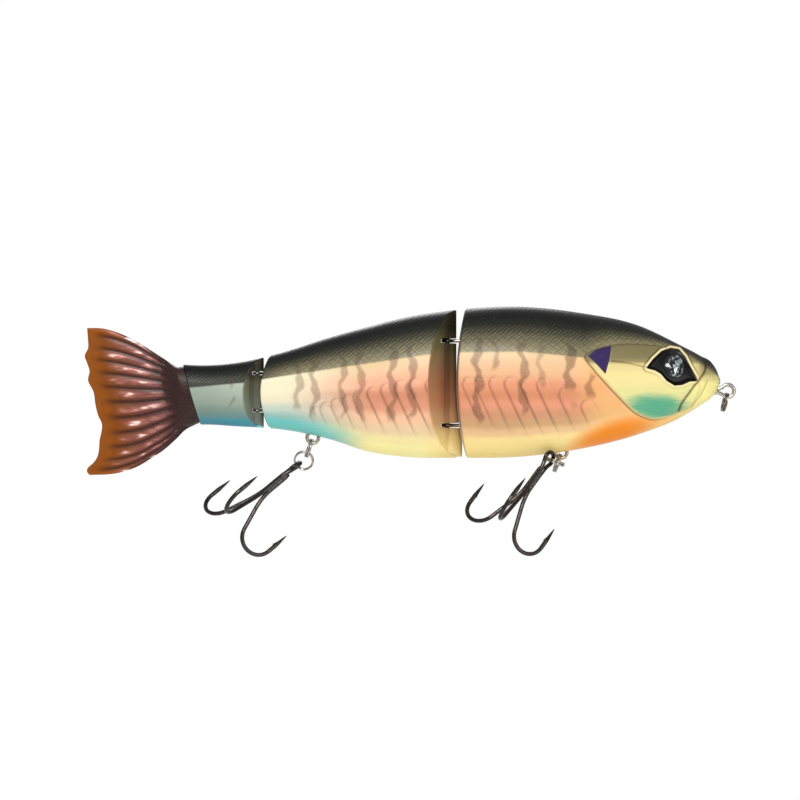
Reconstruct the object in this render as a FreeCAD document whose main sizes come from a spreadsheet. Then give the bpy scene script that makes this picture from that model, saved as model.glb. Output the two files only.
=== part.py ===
import FreeCAD, Part
import math
import os
import Sketcher

# Three-section glide swimbait, millimetres.
# +X points to the nose, +Z to the back of the fish, +Y to its left side.
# The origin is the centre of the wire line tie at the nose.

Vector = FreeCAD.Vector
Rotation = FreeCAD.Rotation
Placement = FreeCAD.Placement
X, Y, Z = Vector(1, 0, 0), Vector(0, 1, 0), Vector(0, 0, 1)

doc = FreeCAD.newDocument("Swimbait")
sheet = doc.addObject("Spreadsheet::Sheet", "dims")
parts = {}

# ---------------------------------------------------------------- dimensions

# Outline stations of the hull: distance along X, top, bottom and half width.
HULL_STATIONS = [
    (-2.5, 3.9, 1.9, 0.9),
    (-3.2, 5.9, 0.1, 2.2),
    (-4.4, 7.9, -1.5, 3.4),
    (-8.3, 10.5, -4.4, 5.6),
    (-14.2, 13.6, -8.0, 7.9),
    (-26.0, 19.2, -12.7, 10.9),
    (-43.8, 23.1, -17.2, 13.2),
    (-61.6, 24.9, -19.5, 14.0),
    (-79.9, 24.0, -19.8, 13.7),
    (-95.9, 21.6, -19.5, 12.4),
    (-106.6, 18.9, -17.9, 11.0),
    (-117.2, 16.0, -14.5, 9.4),
    (-131.4, 11.5, -11.5, 7.4),
    (-145.6, 8.3, -10.5, 5.8),
    (-155.0, 7.6, -10.0, 5.0),
    (-163.0, 7.9, -10.6, 4.4),
]
CAVITY_FIRST, CAVITY_LAST = 4, 12

# Outline of the tail fin's blade, from its upper tip round by the trailing edge.
FIN_OUTLINE = [
    (-190.2, 18.4),
    (-188.6, 3.0),
    (-186.0, -9.0),
    (-186.4, -17.0),
    (-189.8, -24.6),
    (-180.0, -24.2),
    (-170.8, -20.0),
    (-154.0, -10.2),
    (-154.0, 7.0),
    (-161.4, 7.4),
    (-167.0, 9.4),
    (-175.0, 14.6),
    (-182.0, 17.6),
]

DIMENSIONS = {
    "wall": 1.8,
    "seam_gap": 0.02,
    "fit_gap": 0.05,
    "end_wall": 3.5,
    # Front joint: hinge line, nose radius of the wedge, chamfer offset and angle.
    "front_hinge_x": -83.0,
    "front_nose_radius": 2.7,
    "front_chamfer_offset": 2.7,
    "front_chamfer_angle": 35.0,
    "head_rear_x": -79.9,
    "head_rear_radius": 95.0,
    "head_rear_z": 3.0,
    "front_eye_high_z": 14.8,
    "front_eye_low_z": -10.2,
    "front_eye_radius": 1.3,
    "front_eye_wire": 0.5,
    "front_pin_radius": 0.72,
    "front_pin_low_z": -15.0,
    "front_pin_length": 34.0,
    # Rear joint.
    "rear_hinge_x": -139.2,
    "rear_nose_radius": 1.9,
    "rear_chamfer_offset": 0.8,
    "rear_chamfer_angle": 40.0,
    "mid_rear_x": -138.1,
    "mid_rear_radius": 24.0,
    "mid_rear_z": -0.4,
    "rear_eye_high_z": 5.2,
    "rear_eye_low_z": -5.8,
    "rear_eye_radius": 1.05,
    "rear_eye_wire": 0.38,
    "rear_pin_radius": 0.6,
    "rear_pin_low_z": -8.6,
    "rear_pin_length": 16.2,
    "bead_gap": 0.3,
    "slot_gap": 0.35,
    "hinge_stem": 8.0,
    # Slanted joint between the tail section and the soft fin.
    "tail_rear_x": -158.9,
    "tail_rear_angle": -16.0,
    "fin_thickness": 2.4,
    "fin_gap": 0.1,
    "tang_length": 10.0,
    "tang_thickness": 2.2,
    "tang_height": 7.0,
    "tang_z": -4.6,
    "fin_pin_radius": 0.8,
    "fin_pin_length": 13.0,
    # Line tie and its split ring.
    "tie_radius": 1.85,
    "tie_wire": 0.62,
    "tie_stem": 11.0,
    "nose_ring_radius": 2.6,
    "nose_ring_angle": -14.0,
    # Hook hangers, split rings.
    "hanger_radius": 1.7,
    "hanger_wire": 0.55,
    "hanger_stem": 8.0,
    "front_hanger_x": -49.3,
    "front_hanger_z": -18.2,
    "rear_hanger_x": -122.8,
    "rear_hanger_z": -13.8,
    "upper_ring_radius": 2.6,
    "lower_ring_radius": 2.7,
    "ring_wire": 0.31,
    "ring_coil_offset": 0.31,
    "link_gap": 0.12,
    # Treble hooks.
    "hook_wire": 0.62,
    "hook_eye_radius": 2.0,
    "shank_offset": 0.74,
    "shank_length": 10.2,
    "flare_radius": 20.0,
    "flare_angle": 21.0,
    "flare_length": 7.0,
    "bend_radius": 5.1,
    "point_length": 3.1,
    "point_cone": 4.2,
    # Glass-like eyes.
    "eye_x": -16.3,
    "eye_z": 7.4,
    "eye_y": 7.4,
    "eye_dome": 6.0,
    "eye_radius": 3.5,
    "eye_depth": 1.6,
    "eye_out": 0.75,
    "eye_forward": 0.32,
    "eye_up": 0.30,
    # Ballast weights.
    "head_weight_x": -65.0,
    "head_weight_z": -12.0,
    "head_weight_radius": 4.0,
    "head_weight_length": 13.0,
    "mid_weight_x": -107.0,
    "mid_weight_z": -11.0,
    "mid_weight_radius": 3.2,
    "mid_weight_length": 11.0,
}

# Rest angles of the hook chains, degrees. swing turns about the wire that a piece
# hangs from, place is where along its own loop the next piece hangs.
CHAINS = {
    "front": {"hang": -19.9, "swing": [-6.0, 37.5, 16.4], "place": [85.0, -1.3, 80.0], "single": -1},
    "rear": {"hang": -18.9, "swing": [-3.0, 12.0, 22.0], "place": [-20.0, -24.0, -12.0], "single": 1},
}


def fill_sheet():
    rows = dict(DIMENSIONS)
    for i, station in enumerate(HULL_STATIONS):
        for word, value in zip(("place", "top", "bottom", "half"), station):
            rows["hull_%s_%02d" % (word, i)] = value
    for i, corner in enumerate(FIN_OUTLINE):
        rows["fin_place_%02d" % i], rows["fin_height_%02d" % i] = corner
    for row, (alias, value) in enumerate(rows.items(), start=1):
        sheet.set("A%d" % row, alias)
        sheet.set("B%d" % row, str(value))
        sheet.setAlias("B%d" % row, alias)
    doc.recompute()


def dim(alias):
    return float(sheet.get(alias))


# ------------------------------------------------------------------- helpers


def add(kind, name, **links):
    made = doc.addObject(kind, name)
    for key, value in links.items():
        setattr(made, key, value)
    return made


def bind(made, **formulas):
    for path, formula in formulas.items():
        made.setExpression(path.replace("__", "."), formula)
    return made


def at(made, x="0", y="0", z="0", rotation=None):
    if rotation is not None:
        made.Placement = Placement(Vector(), rotation)
    return bind(made, Placement__Base__x=x, Placement__Base__y=y, Placement__Base__z=z)


def part(label, made, placement=None):
    made.Label = label
    if placement is not None:
        made.Placement = placement
    parts[label] = made
    return made


def origin_plane(body, role):
    return next(f for f in body.Origin.OriginFeatures if f.Role == role)


def sketch_on(body, role, name, offset=None):
    sketch = body.newObject("Sketcher::SketchObject", name)
    sketch.AttachmentSupport = (origin_plane(body, role), [""])
    sketch.MapMode = "FlatFace"
    if offset is not None:
        sketch.AttachmentOffset = Placement(offset, Rotation())
    return sketch


def constrain(sketch, formula, *rule):
    index = sketch.addConstraint(Sketcher.Constraint(*rule))
    if formula:
        sketch.setExpression("Constraints[%d]" % index, formula)
    return index


def locate(sketch, geometry, point, x, y):
    """Fixes a point of the sketch at two sheet formulas, measured from its origin."""
    for kind, formula in (("DistanceX", x), ("DistanceY", y)):
        value = evaluate(formula)
        if value < 0:
            constrain(sketch, "-(%s)" % formula, kind, geometry, point, -1, 1, -value)
        else:
            constrain(sketch, formula, kind, -1, 1, geometry, point, value)


def circle_sketch(body, role, name, radius, x=None, offset=None):
    """A circle whose radius and distance x from the axis are sheet formulas."""
    sketch = sketch_on(body, role, name, offset)
    centre = Vector(evaluate(x) if x else 0, 0, 0)
    sketch.addGeometry(Part.Circle(centre, Z, evaluate(radius)), False)
    constrain(sketch, radius, "Radius", 0, evaluate(radius))
    if x:
        constrain(sketch, x, "DistanceX", -1, 1, 0, 3, centre.x)
        constrain(sketch, None, "PointOnObject", 0, 3, -1)
    else:
        constrain(sketch, None, "Coincident", 0, 3, -1, 1)
    return sketch


def evaluate(formula):
    return float(sheet.evalExpression(formula.replace("dims.", "")))


def rod(label, radius, length, placement=None, edge=0.0):
    """A round bar along local Z, its ends chamfered by edge."""
    body = add("PartDesign::Body", label + "_body")
    sketch = circle_sketch(body, "XY_Plane", label + "_circle", radius)
    pad = body.newObject("PartDesign::Pad", label + "_pad")
    pad.Profile = sketch
    bind(pad, Length=length)
    body.Tip = pad
    if edge:
        doc.recompute()
        chamfer = body.newObject("PartDesign::Chamfer", label + "_chamfer")
        rims = [n + 1 for n, e in enumerate(pad.Shape.Edges) if isinstance(e.Curve, Part.Circle)]
        chamfer.Base = (pad, ["Edge%d" % n for n in rims])
        chamfer.Size = edge
        body.Tip = chamfer
    return part(label, body, placement)


# ------------------------------------------------------------ hull and shells


def hull_section(i, inset):
    """One elliptical section across the fish, its long axis upright."""
    cell = "dims.hull_%s_" + "%02d" % i
    top, bottom, half = cell % "top", cell % "bottom", cell % "half"
    section = add("Part::Ellipse", "section_%02d" % i)
    bind(section, MajorRadius="(%s - %s) / 2 - %s" % (top, bottom, inset))
    bind(section, MinorRadius="%s - %s" % (half, inset))
    return at(section, cell % "place", "0", "(%s + %s) / 2" % (top, bottom), Rotation(Y, -90))


def loft(name, first, last, inset="0"):
    sections = [hull_section(i, inset) for i in range(first, last + 1)]
    return add("Part::Loft", name, Sections=sections, Solid=True, Ruled=False)


def block(name, x, y, z, size_x, size_y, size_z):
    """A box from its low corner and its sizes, all sheet formulas."""
    box = bind(add("Part::Box", name), Length=size_x, Width=size_y, Height=size_z)
    return at(box, x, y, z)


def cylinder(name, radius, length, x, y, z, axis=Z):
    bar = bind(add("Part::Cylinder", name), Radius=radius, Height=length)
    return at(bar, x, y, z, Rotation(Z, axis))


def end_round(name, face_x, radius, centre_z):
    """A wide cylinder across the fish that rounds a section's rear end."""
    centre = "%s + %s" % (face_x, radius)
    return cylinder(name, radius, "80", centre, "40", centre_z, Vector(0, -1, 0))


def front_wedge(joint, back_x):
    """The V-shaped front of a section, with a round bead on the hinge line."""
    hinge, offset = "dims.%s_hinge_x" % joint, "dims.%s_chamfer_offset" % joint
    angle = dim(joint + "_chamfer_angle")
    hinge_place = Placement(Vector(dim(joint + "_hinge_x"), 0, 0), Rotation())
    reach = 90.0
    cheeks = []
    for side in (-1, 1):
        cheek = bind(add("Part::Box", joint + "_cheek"), Length="%g + %s" % (reach, offset))
        cheek.Width, cheek.Height = 2 * reach, 2 * reach
        turn = Placement(Vector(), Rotation(Z, side * angle))
        cheek.Placement = hinge_place * turn * Placement(Vector(-reach, -reach, -reach), Rotation())
        cheeks.append(cheek)
    front_x = "%s + %s * cos(dims.%s_chamfer_angle * 1 deg)" % (hinge, offset, joint)
    span = block(joint + "_span", back_x, "-40", "-60", "%s - (%s)" % (front_x, back_x), "80", "120")
    wedge = add("Part::MultiCommon", joint + "_wedge", Shapes=cheeks + [span])
    bead = cylinder(joint + "_bead", "dims.%s_nose_radius" % joint, "120", hinge, "0", "-60")
    return add("Part::MultiFuse", joint + "_front", Shapes=[wedge, bead])


def cut(name, base, tools):
    group = tools[0] if len(tools) == 1 else add("Part::MultiFuse", name + "_tools", Shapes=tools)
    return add("Part::Cut", name, Base=base, Tool=group)


def cavity(name, inner, x_low, x_high, solids):
    """The hollow inside a section, less the bosses and cradles left solid in it."""
    room = block(name + "_room", x_low, "-30", "-40", "%s - (%s)" % (x_high, x_low), "60", "80")
    hollow = add("Part::Common", name + "_hollow", Base=inner, Tool=room)
    return cut(name, hollow, solids) if solids else hollow


def halves(name, whole):
    """Splits a section along the middle plane into its left and right shells."""
    for side, low in (("left", "dims.seam_gap / 2"), ("right", "-40 - dims.seam_gap / 2")):
        label = "%s_shell_%s" % (name, side)
        half = block(label + "_half", "-220", low, "-60", "240", "40", "120")
        part(label, add("Part::Common", label + "_common", Base=whole, Tool=half))


def hinge_tools(joint):
    """Cutters for a hinge: the two eye slots and the pin's hole."""
    hinge = "dims.%s_hinge_x" % joint
    reach = "(dims.{0}_eye_radius + dims.{0}_eye_wire + dims.slot_gap)".format(joint)
    half = "(dims.%s_eye_wire + dims.slot_gap)" % joint
    tools = []
    for level in ("high", "low"):
        z = "dims.%s_eye_%s_z - %s" % (joint, level, half)
        name = "%s_slot_%s" % (joint, level)
        tools.append(block(name, "%s - %s" % (hinge, reach), "-30", z, "20", "60", "2 * " + half))
    pin = "dims.%s_pin_" % joint
    tools.append(cylinder(joint + "_pin_hole", pin + "radius + dims.seam_gap", pin + "length",
                          hinge, "0", pin + "low_z"))
    return tools


def stem_tools(joint):
    """Channels for the stems of a hinge's two wire eyes."""
    start = "dims.{0}_hinge_x + dims.{0}_eye_radius".format(joint)
    radius = "dims.%s_eye_wire + dims.seam_gap" % joint
    return [
        cylinder("%s_stem_%s" % (joint, level), radius, "dims.hinge_stem + 0.05",
                 start, "0", "dims.%s_eye_%s_z" % (joint, level), X)
        for level in ("high", "low")
    ]


def hanger_tools(place):
    """The pocket in the belly for a hook hanger: its loop and its stem."""
    x, z = "dims.%s_hanger_x" % place, "dims.%s_hanger_z" % place
    loop = bind(add("Part::Torus", place + "_hanger_pocket"), Radius1="dims.hanger_radius",
                Radius2="dims.hanger_wire + dims.seam_gap")
    at(loop, x, "0", z, Rotation(Z, Y))
    stem = cylinder(place + "_hanger_channel", "dims.hanger_wire + dims.seam_gap",
                    "dims.hanger_stem + 0.05", x, "0", z + " + dims.hanger_radius")
    return [loop, stem]


def boss(place):
    """The solid block round a hanger's stem."""
    x, z = "dims.%s_hanger_x - 4" % place, "dims.%s_hanger_z - 10" % place
    return block(place + "_boss", x, "-30", z, "8", "60", "22")


def cradle(place):
    """The solid seat under a ballast weight."""
    x = "dims.{0}_weight_x - dims.{0}_weight_length / 2 - 1.5".format(place)
    length = "dims.%s_weight_length + 3" % place
    return block(place + "_cradle", x, "-30", "dims.%s_weight_z - 20" % place, length, "60", "20")


def weight_tool(place):
    x = "dims.{0}_weight_x - dims.{0}_weight_length / 2 - dims.fit_gap".format(place)
    return cylinder(place + "_weight_seat", "dims.%s_weight_radius + dims.fit_gap" % place,
                    "dims.%s_weight_length + 2 * dims.fit_gap" % place,
                    x, "0", "dims.%s_weight_z" % place, X)


def eye_frame(side):
    """Local Z points out of the head, square to its skin at the eye's centre."""
    out = Vector(dim("eye_forward"), side, dim("eye_up"))
    centre = Vector(dim("eye_x"), side * dim("eye_y"), dim("eye_z"))
    return Placement(centre, Rotation(Z, out))


def eye_tool(side):
    """The round seat of one eye, open outwards."""
    seat = bind(add("Part::Cylinder", "eye_seat"), Radius="dims.eye_radius + dims.fit_gap")
    seat.Height = 10
    bottom = dim("eye_out") - dim("eye_depth") - dim("fit_gap")
    seat.Placement = eye_frame(side) * Placement(Vector(0, 0, bottom), Rotation())
    return seat


def build_shells():
    hull = loft("hull", 0, len(HULL_STATIONS) - 1)
    inner = loft("hull_inside", CAVITY_FIRST, CAVITY_LAST, "dims.wall")

    head_end = end_round("head_end", "dims.head_rear_x", "dims.head_rear_radius", "dims.head_rear_z")
    head = add("Part::Common", "head_block", Base=hull, Tool=head_end)
    head_hollow = cavity("head_cavity", inner, "dims.head_rear_x + dims.end_wall + 1", "-24",
                         [boss("front"), cradle("head")])
    tie_channel = cylinder("tie_channel", "dims.tie_wire + dims.seam_gap", "dims.tie_stem + 0.05",
                           "-dims.tie_radius", "0", "0", Vector(-1, 0, 0))
    tools = [head_hollow, weight_tool("head"), eye_tool(1), eye_tool(-1), tie_channel]
    halves("head", cut("head_whole", head, tools + stem_tools("front") + hanger_tools("front")))

    mid_end = end_round("mid_end", "dims.mid_rear_x", "dims.mid_rear_radius", "dims.mid_rear_z")
    mid = add("Part::MultiCommon", "mid_block", Shapes=[hull, front_wedge("front", "-150"), mid_end_box(mid_end)])
    mid_hollow = cavity("mid_cavity", inner, "dims.mid_rear_x + dims.end_wall + 1.5",
                        "dims.front_hinge_x - 9", [boss("rear"), cradle("mid")])
    groove = cylinder("rear_groove", "dims.rear_nose_radius + dims.bead_gap", "80",
                      "dims.rear_hinge_x", "0", "-40")
    tools = [mid_hollow, weight_tool("mid"), groove]
    tools += hinge_tools("front") + stem_tools("rear") + hanger_tools("rear")
    halves("mid", cut("mid_whole", mid, tools))

    tail = add("Part::Common", "tail_block", Base=hull, Tool=front_wedge("rear", "-175"))
    tools = [behind_tail("tail_end", "0")] + hinge_tools("rear") + [tang("tang_slot", "dims.fin_gap")]
    tools.append(fin_pin_hole())
    halves("tail", cut("tail_whole", tail, tools))
    return hull


def mid_end_box(mid_end):
    """The rear rounding of the middle section, widened to leave the rest of it whole."""
    radius = "dims.mid_rear_radius"
    rest = block("mid_rest", "dims.mid_rear_x + %s * 0.3" % radius, "-40", "-60", "80", "80", "120")
    return add("Part::MultiFuse", "mid_limit", Shapes=[mid_end, rest])


def behind_tail(name, gap):
    """Everything behind the slanted face that ends the tail section."""
    box = add("Part::Box", name, Length=60, Width=80, Height=120)
    turn = Placement(Vector(dim("tail_rear_x"), 0, 0), Rotation(Y, dim("tail_rear_angle")))
    box.Placement = turn * Placement(Vector(-60 - evaluate(gap), -40, -60), Rotation())
    return box


def tang(name, gap):
    """The flat tongue that roots the fin in the tail section."""
    return block(name, "dims.tail_rear_x - 4", "-dims.tang_thickness / 2 - %s" % gap,
                 "dims.tang_z - %s" % gap, "dims.tang_length + 4 + %s" % gap,
                 "dims.tang_thickness + 2 * %s" % gap, "dims.tang_height + 2 * %s" % gap)


def fin_pin_hole():
    return cylinder("fin_pin_hole", "dims.fin_pin_radius + dims.seam_gap", "dims.fin_pin_length",
                    "dims.tail_rear_x + 5", "0", "-dims.fin_pin_length / 2 - 1")


# ------------------------------------------------------------- tail fin, eyes


def build_fin():
    body = add("PartDesign::Body", "fin_blade")
    sketch = sketch_on(body, "XZ_Plane", "fin_outline")
    points = [Vector(x, z, 0) for x, z in FIN_OUTLINE]
    count = len(points)
    for i in range(count):
        sketch.addGeometry(Part.LineSegment(points[i], points[(i + 1) % count]), False)
    for i in range(count):
        sketch.addConstraint(Sketcher.Constraint("Coincident", i, 2, (i + 1) % count, 1))
    for i in range(count):
        locate(sketch, i, 1, "dims.fin_place_%02d" % i, "dims.fin_height_%02d" % i)
    pad = body.newObject("PartDesign::Pad", "fin_pad")
    pad.Profile = sketch
    pad.Midplane = True
    bind(pad, Length="dims.fin_thickness")
    body.Tip = pad

    root_sections = [hull_section(i, "dims.fin_gap / 2") for i in (13, 14, 15)]
    slim = add("Part::Ellipse", "fin_root_end")
    bind(slim, MajorRadius="10.5", MinorRadius="dims.fin_thickness / 2 + 0.1")
    at(slim, "-170", "0", "-3.4", Rotation(Y, -90))
    root = add("Part::Loft", "fin_root", Sections=root_sections + [slim], Solid=True)
    behind = behind_tail("fin_side", "dims.fin_gap")
    root_cut = add("Part::Common", "fin_root_cut", Base=root, Tool=behind)
    blade_cut = add("Part::Common", "fin_blade_cut", Base=body, Tool=behind_tail("blade_side", "dims.fin_gap"))
    solid = add("Part::MultiFuse", "fin_solid", Shapes=[blade_cut, root_cut, tang("fin_tang", "0")])
    pin = cylinder("fin_tang_hole", "dims.fin_pin_radius + dims.seam_gap", "40",
                   "dims.tail_rear_x + 5", "0", "-20")
    part("tail_fin", add("Part::Cut", "tail_fin_cut", Base=solid, Tool=pin))
    place = Placement(Vector(dim("tail_rear_x") + 5, 0, -dim("fin_pin_length") / 2 - 1), Rotation())
    rod("tail_fin_pin", "dims.fin_pin_radius", "dims.fin_pin_length", place)


def build_eyes():
    """Domed eyes: a slice of a ball, glued in a round seat on each side."""
    for side, label in ((1, "eye_left"), (-1, "eye_right")):
        ball = bind(add("Part::Sphere", label + "_ball"), Radius="dims.eye_dome")
        ball.Placement = Placement(Vector(0, 0, dim("eye_out") - dim("eye_dome")), Rotation())
        disc = bind(add("Part::Cylinder", label + "_disc"), Radius="dims.eye_radius", Height="dims.eye_depth")
        disc.Placement = Placement(Vector(0, 0, dim("eye_out") - dim("eye_depth")), Rotation())
        part(label, add("Part::Common", label + "_common", Base=ball, Tool=disc), eye_frame(side))


# -------------------------------------------------------- wire eyes and rings


def wire_eye(label, radius, wire, stem, placement):
    """A closed loop about local Y with a straight stem along local -X."""
    loop = bind(add("Part::Torus", label + "_loop"), Radius1=radius, Radius2=wire)
    loop.Placement = Placement(Vector(), Rotation(Z, Y))
    bar = cylinder(label + "_stem", wire, stem, "-%s" % radius, "0", "0", Vector(-1, 0, 0))
    return part(label, add("Part::MultiFuse", label + "_fuse", Shapes=[loop, bar]), placement)


def split_ring(label, radius, centre, normal):
    """Two turns of round wire side by side, closed as one ring about local Z."""
    body = add("PartDesign::Body", label + "_body")
    sketch = sketch_on(body, "XZ_Plane", label + "_profile")
    mean, wire, step = dim(radius), dim("ring_wire"), dim("ring_coil_offset")
    upper, lower = Vector(mean, step, 0), Vector(mean, -step, 0)
    inside, outside = mean - wire, mean + wire
    sketch.addGeometry(Part.ArcOfCircle(Part.Circle(upper, Z, wire), 0, math.pi), False)
    sketch.addGeometry(Part.LineSegment(Vector(inside, step, 0), Vector(inside, -step, 0)), False)
    sketch.addGeometry(Part.ArcOfCircle(Part.Circle(lower, Z, wire), math.pi, 2 * math.pi), False)
    sketch.addGeometry(Part.LineSegment(Vector(outside, -step, 0), Vector(outside, step, 0)), False)
    for i in range(4):
        sketch.addConstraint(Sketcher.Constraint("Coincident", i, 2, (i + 1) % 4, 1))
    for arc, sign in ((0, ""), (2, "-")):
        constrain(sketch, "dims.ring_wire", "Radius", arc, wire)
        locate(sketch, arc, 3, "dims." + radius, sign + "dims.ring_coil_offset")
        for end in (1, 2):
            sketch.addConstraint(Sketcher.Constraint("Horizontal", arc, end, arc, 3))
    turn = body.newObject("PartDesign::Revolution", label + "_turn")
    turn.Profile = sketch
    turn.ReferenceAxis = (sketch, ["V_Axis"])
    turn.Angle = 360
    body.Tip = turn
    return part(label, body, Placement(centre, Rotation(Z, normal)))


def build_nose():
    wire_eye("line_tie", "dims.tie_radius", "dims.tie_wire", "dims.tie_stem", Placement())
    angle = math.radians(dim("nose_ring_angle"))
    hang = Vector(math.sin(angle), 0, -math.cos(angle))
    reach = dim("tie_radius") + dim("nose_ring_radius") - dim("tie_wire") - dim("ring_wire") - dim("link_gap")
    split_ring("nose_ring", "nose_ring_radius", hang * reach, Y.cross(hang))


def build_hinge(joint):
    for level in ("high", "low"):
        centre = Vector(dim(joint + "_hinge_x"), 0, dim("%s_eye_%s_z" % (joint, level)))
        lying = Rotation(Vector(-1, 0, 0), Vector(0, 0, 1), Vector(0, 1, 0), "ZXY")
        label = "%s_hinge_eye_%s" % (joint, "upper" if level == "high" else "lower")
        wire_eye(label, "dims.%s_eye_radius" % joint, "dims.%s_eye_wire" % joint,
                 "dims.hinge_stem", Placement(centre, lying))
    foot = Vector(dim(joint + "_hinge_x"), 0, dim(joint + "_pin_low_z"))
    rod(joint + "_hinge_pin", "dims.%s_pin_radius" % joint, "dims.%s_pin_length" % joint,
        Placement(foot, Rotation()), 0.1)


# --------------------------------------------------------------- treble hooks


def hook_leg(label, top):
    """One hook of a treble in its local XZ plane: shank, flare, round bend and point."""
    wire, offset = dim("hook_wire"), dim("shank_offset")
    flare, angle = dim("flare_radius"), math.radians(dim("flare_angle"))
    bend, length = dim("bend_radius"), dim("flare_length")
    shank_end = -dim("shank_length")
    start = Vector(offset, top, 0)
    knee = Vector(offset, shank_end, 0)
    flare_end = knee + Vector(flare * (1 - math.cos(angle)), -flare * math.sin(angle), 0)
    bend_start = flare_end + Vector(math.sin(angle), -math.cos(angle), 0) * length
    centre = bend_start + Vector(math.cos(angle), math.sin(angle), 0) * bend
    bend_end = centre + Vector(bend, 0, 0)
    tip = bend_end + Vector(0, dim("point_length"), 0)

    body = add("PartDesign::Body", label + "_body")
    path = sketch_on(body, "XZ_Plane", label + "_path")
    flare_circle = Part.Circle(knee + Vector(flare, 0, 0), Z, flare)
    bend_circle = Part.Circle(centre, Z, bend)
    path.addGeometry(Part.LineSegment(start, knee), False)
    path.addGeometry(Part.ArcOfCircle(flare_circle, math.pi, math.pi + angle), False)
    path.addGeometry(Part.LineSegment(flare_end, bend_start), False)
    path.addGeometry(Part.ArcOfCircle(bend_circle, math.pi + angle, 2 * math.pi), False)
    path.addGeometry(Part.LineSegment(bend_end, tip), False)
    for i in range(4):
        path.addConstraint(Sketcher.Constraint("Tangent", i, 2, i + 1, 1))
    path.addConstraint(Sketcher.Constraint("Vertical", 0))
    path.addConstraint(Sketcher.Constraint("Vertical", 4))
    locate(path, 0, 1, "dims.shank_offset", "%g" % top)
    constrain(path, "dims.shank_length", "DistanceY", 0, 2, -1, 1, -shank_end)
    constrain(path, "dims.flare_radius", "Radius", 1, flare)
    constrain(path, "dims.flare_length", "Distance", 2, length)
    constrain(path, "dims.bend_radius", "Radius", 3, bend)
    constrain(path, "dims.point_length", "Distance", 4, dim("point_length"))
    profile = circle_sketch(body, "XY_Plane", label + "_section", "dims.hook_wire",
                            "dims.shank_offset", Vector(0, 0, top))
    doc.recompute()
    pipe = body.newObject("PartDesign::AdditivePipe", label + "_pipe")
    pipe.Profile = profile
    pipe.Spine = (path, ["Edge%d" % n for n in range(1, 6)])
    body.Tip = pipe
    doc.recompute()
    cone = add("Part::Cone", label + "_point")
    bind(cone, Radius1="dims.hook_wire", Height="dims.point_cone")
    cone.Radius2 = 0.04
    cone.Placement = Placement(Vector(tip.x, 0, tip.y), Rotation())
    return add("Part::MultiFuse", label + "_leg", Shapes=[body, cone])


def build_treble(name, frame):
    """A double hook bent from one wire with its eye, and a single hook brazed to it."""
    legs = []
    for k in (1, 2):
        leg = hook_leg("%s_double_%d" % (name, k), -1.78)
        leg.Placement = Placement(Vector(), Rotation(Z, 120 * k))
        legs.append(leg)
    eye = bind(add("Part::Torus", name + "_eye"), Radius1="dims.hook_eye_radius", Radius2="dims.hook_wire")
    eye.Placement = Placement(Vector(), Rotation(Z, Y * -1, X, "ZXY"))
    double = add("Part::MultiFuse", name + "_double_fuse", Shapes=legs + [eye])
    part(name + "_double", double, frame)
    part(name + "_single", hook_leg(name + "_single", -2.95), frame)


def hang_on(centre, normal, radius, thickness, place, swing, next_radius, next_wire):
    """Where a loop hangs on another's wire, and the hinge line between them."""
    contact = centre + place * radius
    line = normal.cross(place)
    swing = math.radians(swing)
    away = place * math.cos(swing) + normal * math.sin(swing)
    hung = contact + away * (next_radius - thickness - next_wire - dim("link_gap"))
    return contact, line, away, hung


def turned(normal, start, degrees):
    angle = math.radians(degrees)
    return start * math.cos(angle) + normal.cross(start) * math.sin(angle)


def build_chain(place):
    """Hanger, two split rings and treble, each hung on the wire of the one before."""
    chain = CHAINS[place]
    hanger = Vector(dim(place + "_hanger_x"), 0, dim(place + "_hanger_z"))
    upright = Rotation(Vector(0, 0, -1), Vector(0, 1, 0), Vector(1, 0, 0), "ZXY")
    wire_eye(place + "_hanger", "dims.hanger_radius", "dims.hanger_wire", "dims.hanger_stem",
             Placement(hanger, upright))
    hang = math.radians(chain["hang"])
    centre, normal, out = hanger, Y, Vector(math.sin(hang), 0, -math.cos(hang))
    radius, thickness = dim("hanger_radius"), dim("hanger_wire")
    coils = dim("ring_wire") + dim("ring_coil_offset")
    loops = [
        ("_ring_upper", "upper_ring_radius", dim("ring_wire")),
        ("_ring_lower", "lower_ring_radius", dim("ring_wire")),
        ("_treble", "hook_eye_radius", dim("hook_wire")),
    ]
    for i, (suffix, alias, own_wire) in enumerate(loops):
        contact, line, away, centre = hang_on(
            centre, normal, radius, thickness, out, chain["swing"][i], dim(alias), own_wire)
        normal, radius, thickness = line, dim(alias), coils
        out = turned(normal, away, chain["place"][i])
        hinges[place + suffix] = (contact, line)
        frames[place + suffix] = centre
        if suffix != "_treble":
            split_ring(place + suffix, alias, centre, normal)
    shank_up = out * -1
    side = normal * chain["single"]
    frame = Placement(centre, Rotation(side, shank_up.cross(side), shank_up, "ZXY"))
    frames[place + "_treble"] = frame
    build_treble(place + "_treble", frame)


# ------------------------------------------------------------------- assembly

hinges, frames = {}, {}
fill_sheet()
build_shells()
build_fin()
build_eyes()
build_nose()
for joint_name in ("front", "rear"):
    build_hinge(joint_name)
    build_chain(joint_name)
for place_name in ("head", "mid"):
    length_cell = "dims.%s_weight_length" % place_name
    start_x = dim(place_name + "_weight_x") - dim(place_name + "_weight_length") / 2
    seat = Placement(Vector(start_x, 0, dim(place_name + "_weight_z")), Rotation(Z, X))
    rod(place_name + "_weight", "dims.%s_weight_radius" % place_name, length_cell, seat, 0.6)
doc.recompute()

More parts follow.
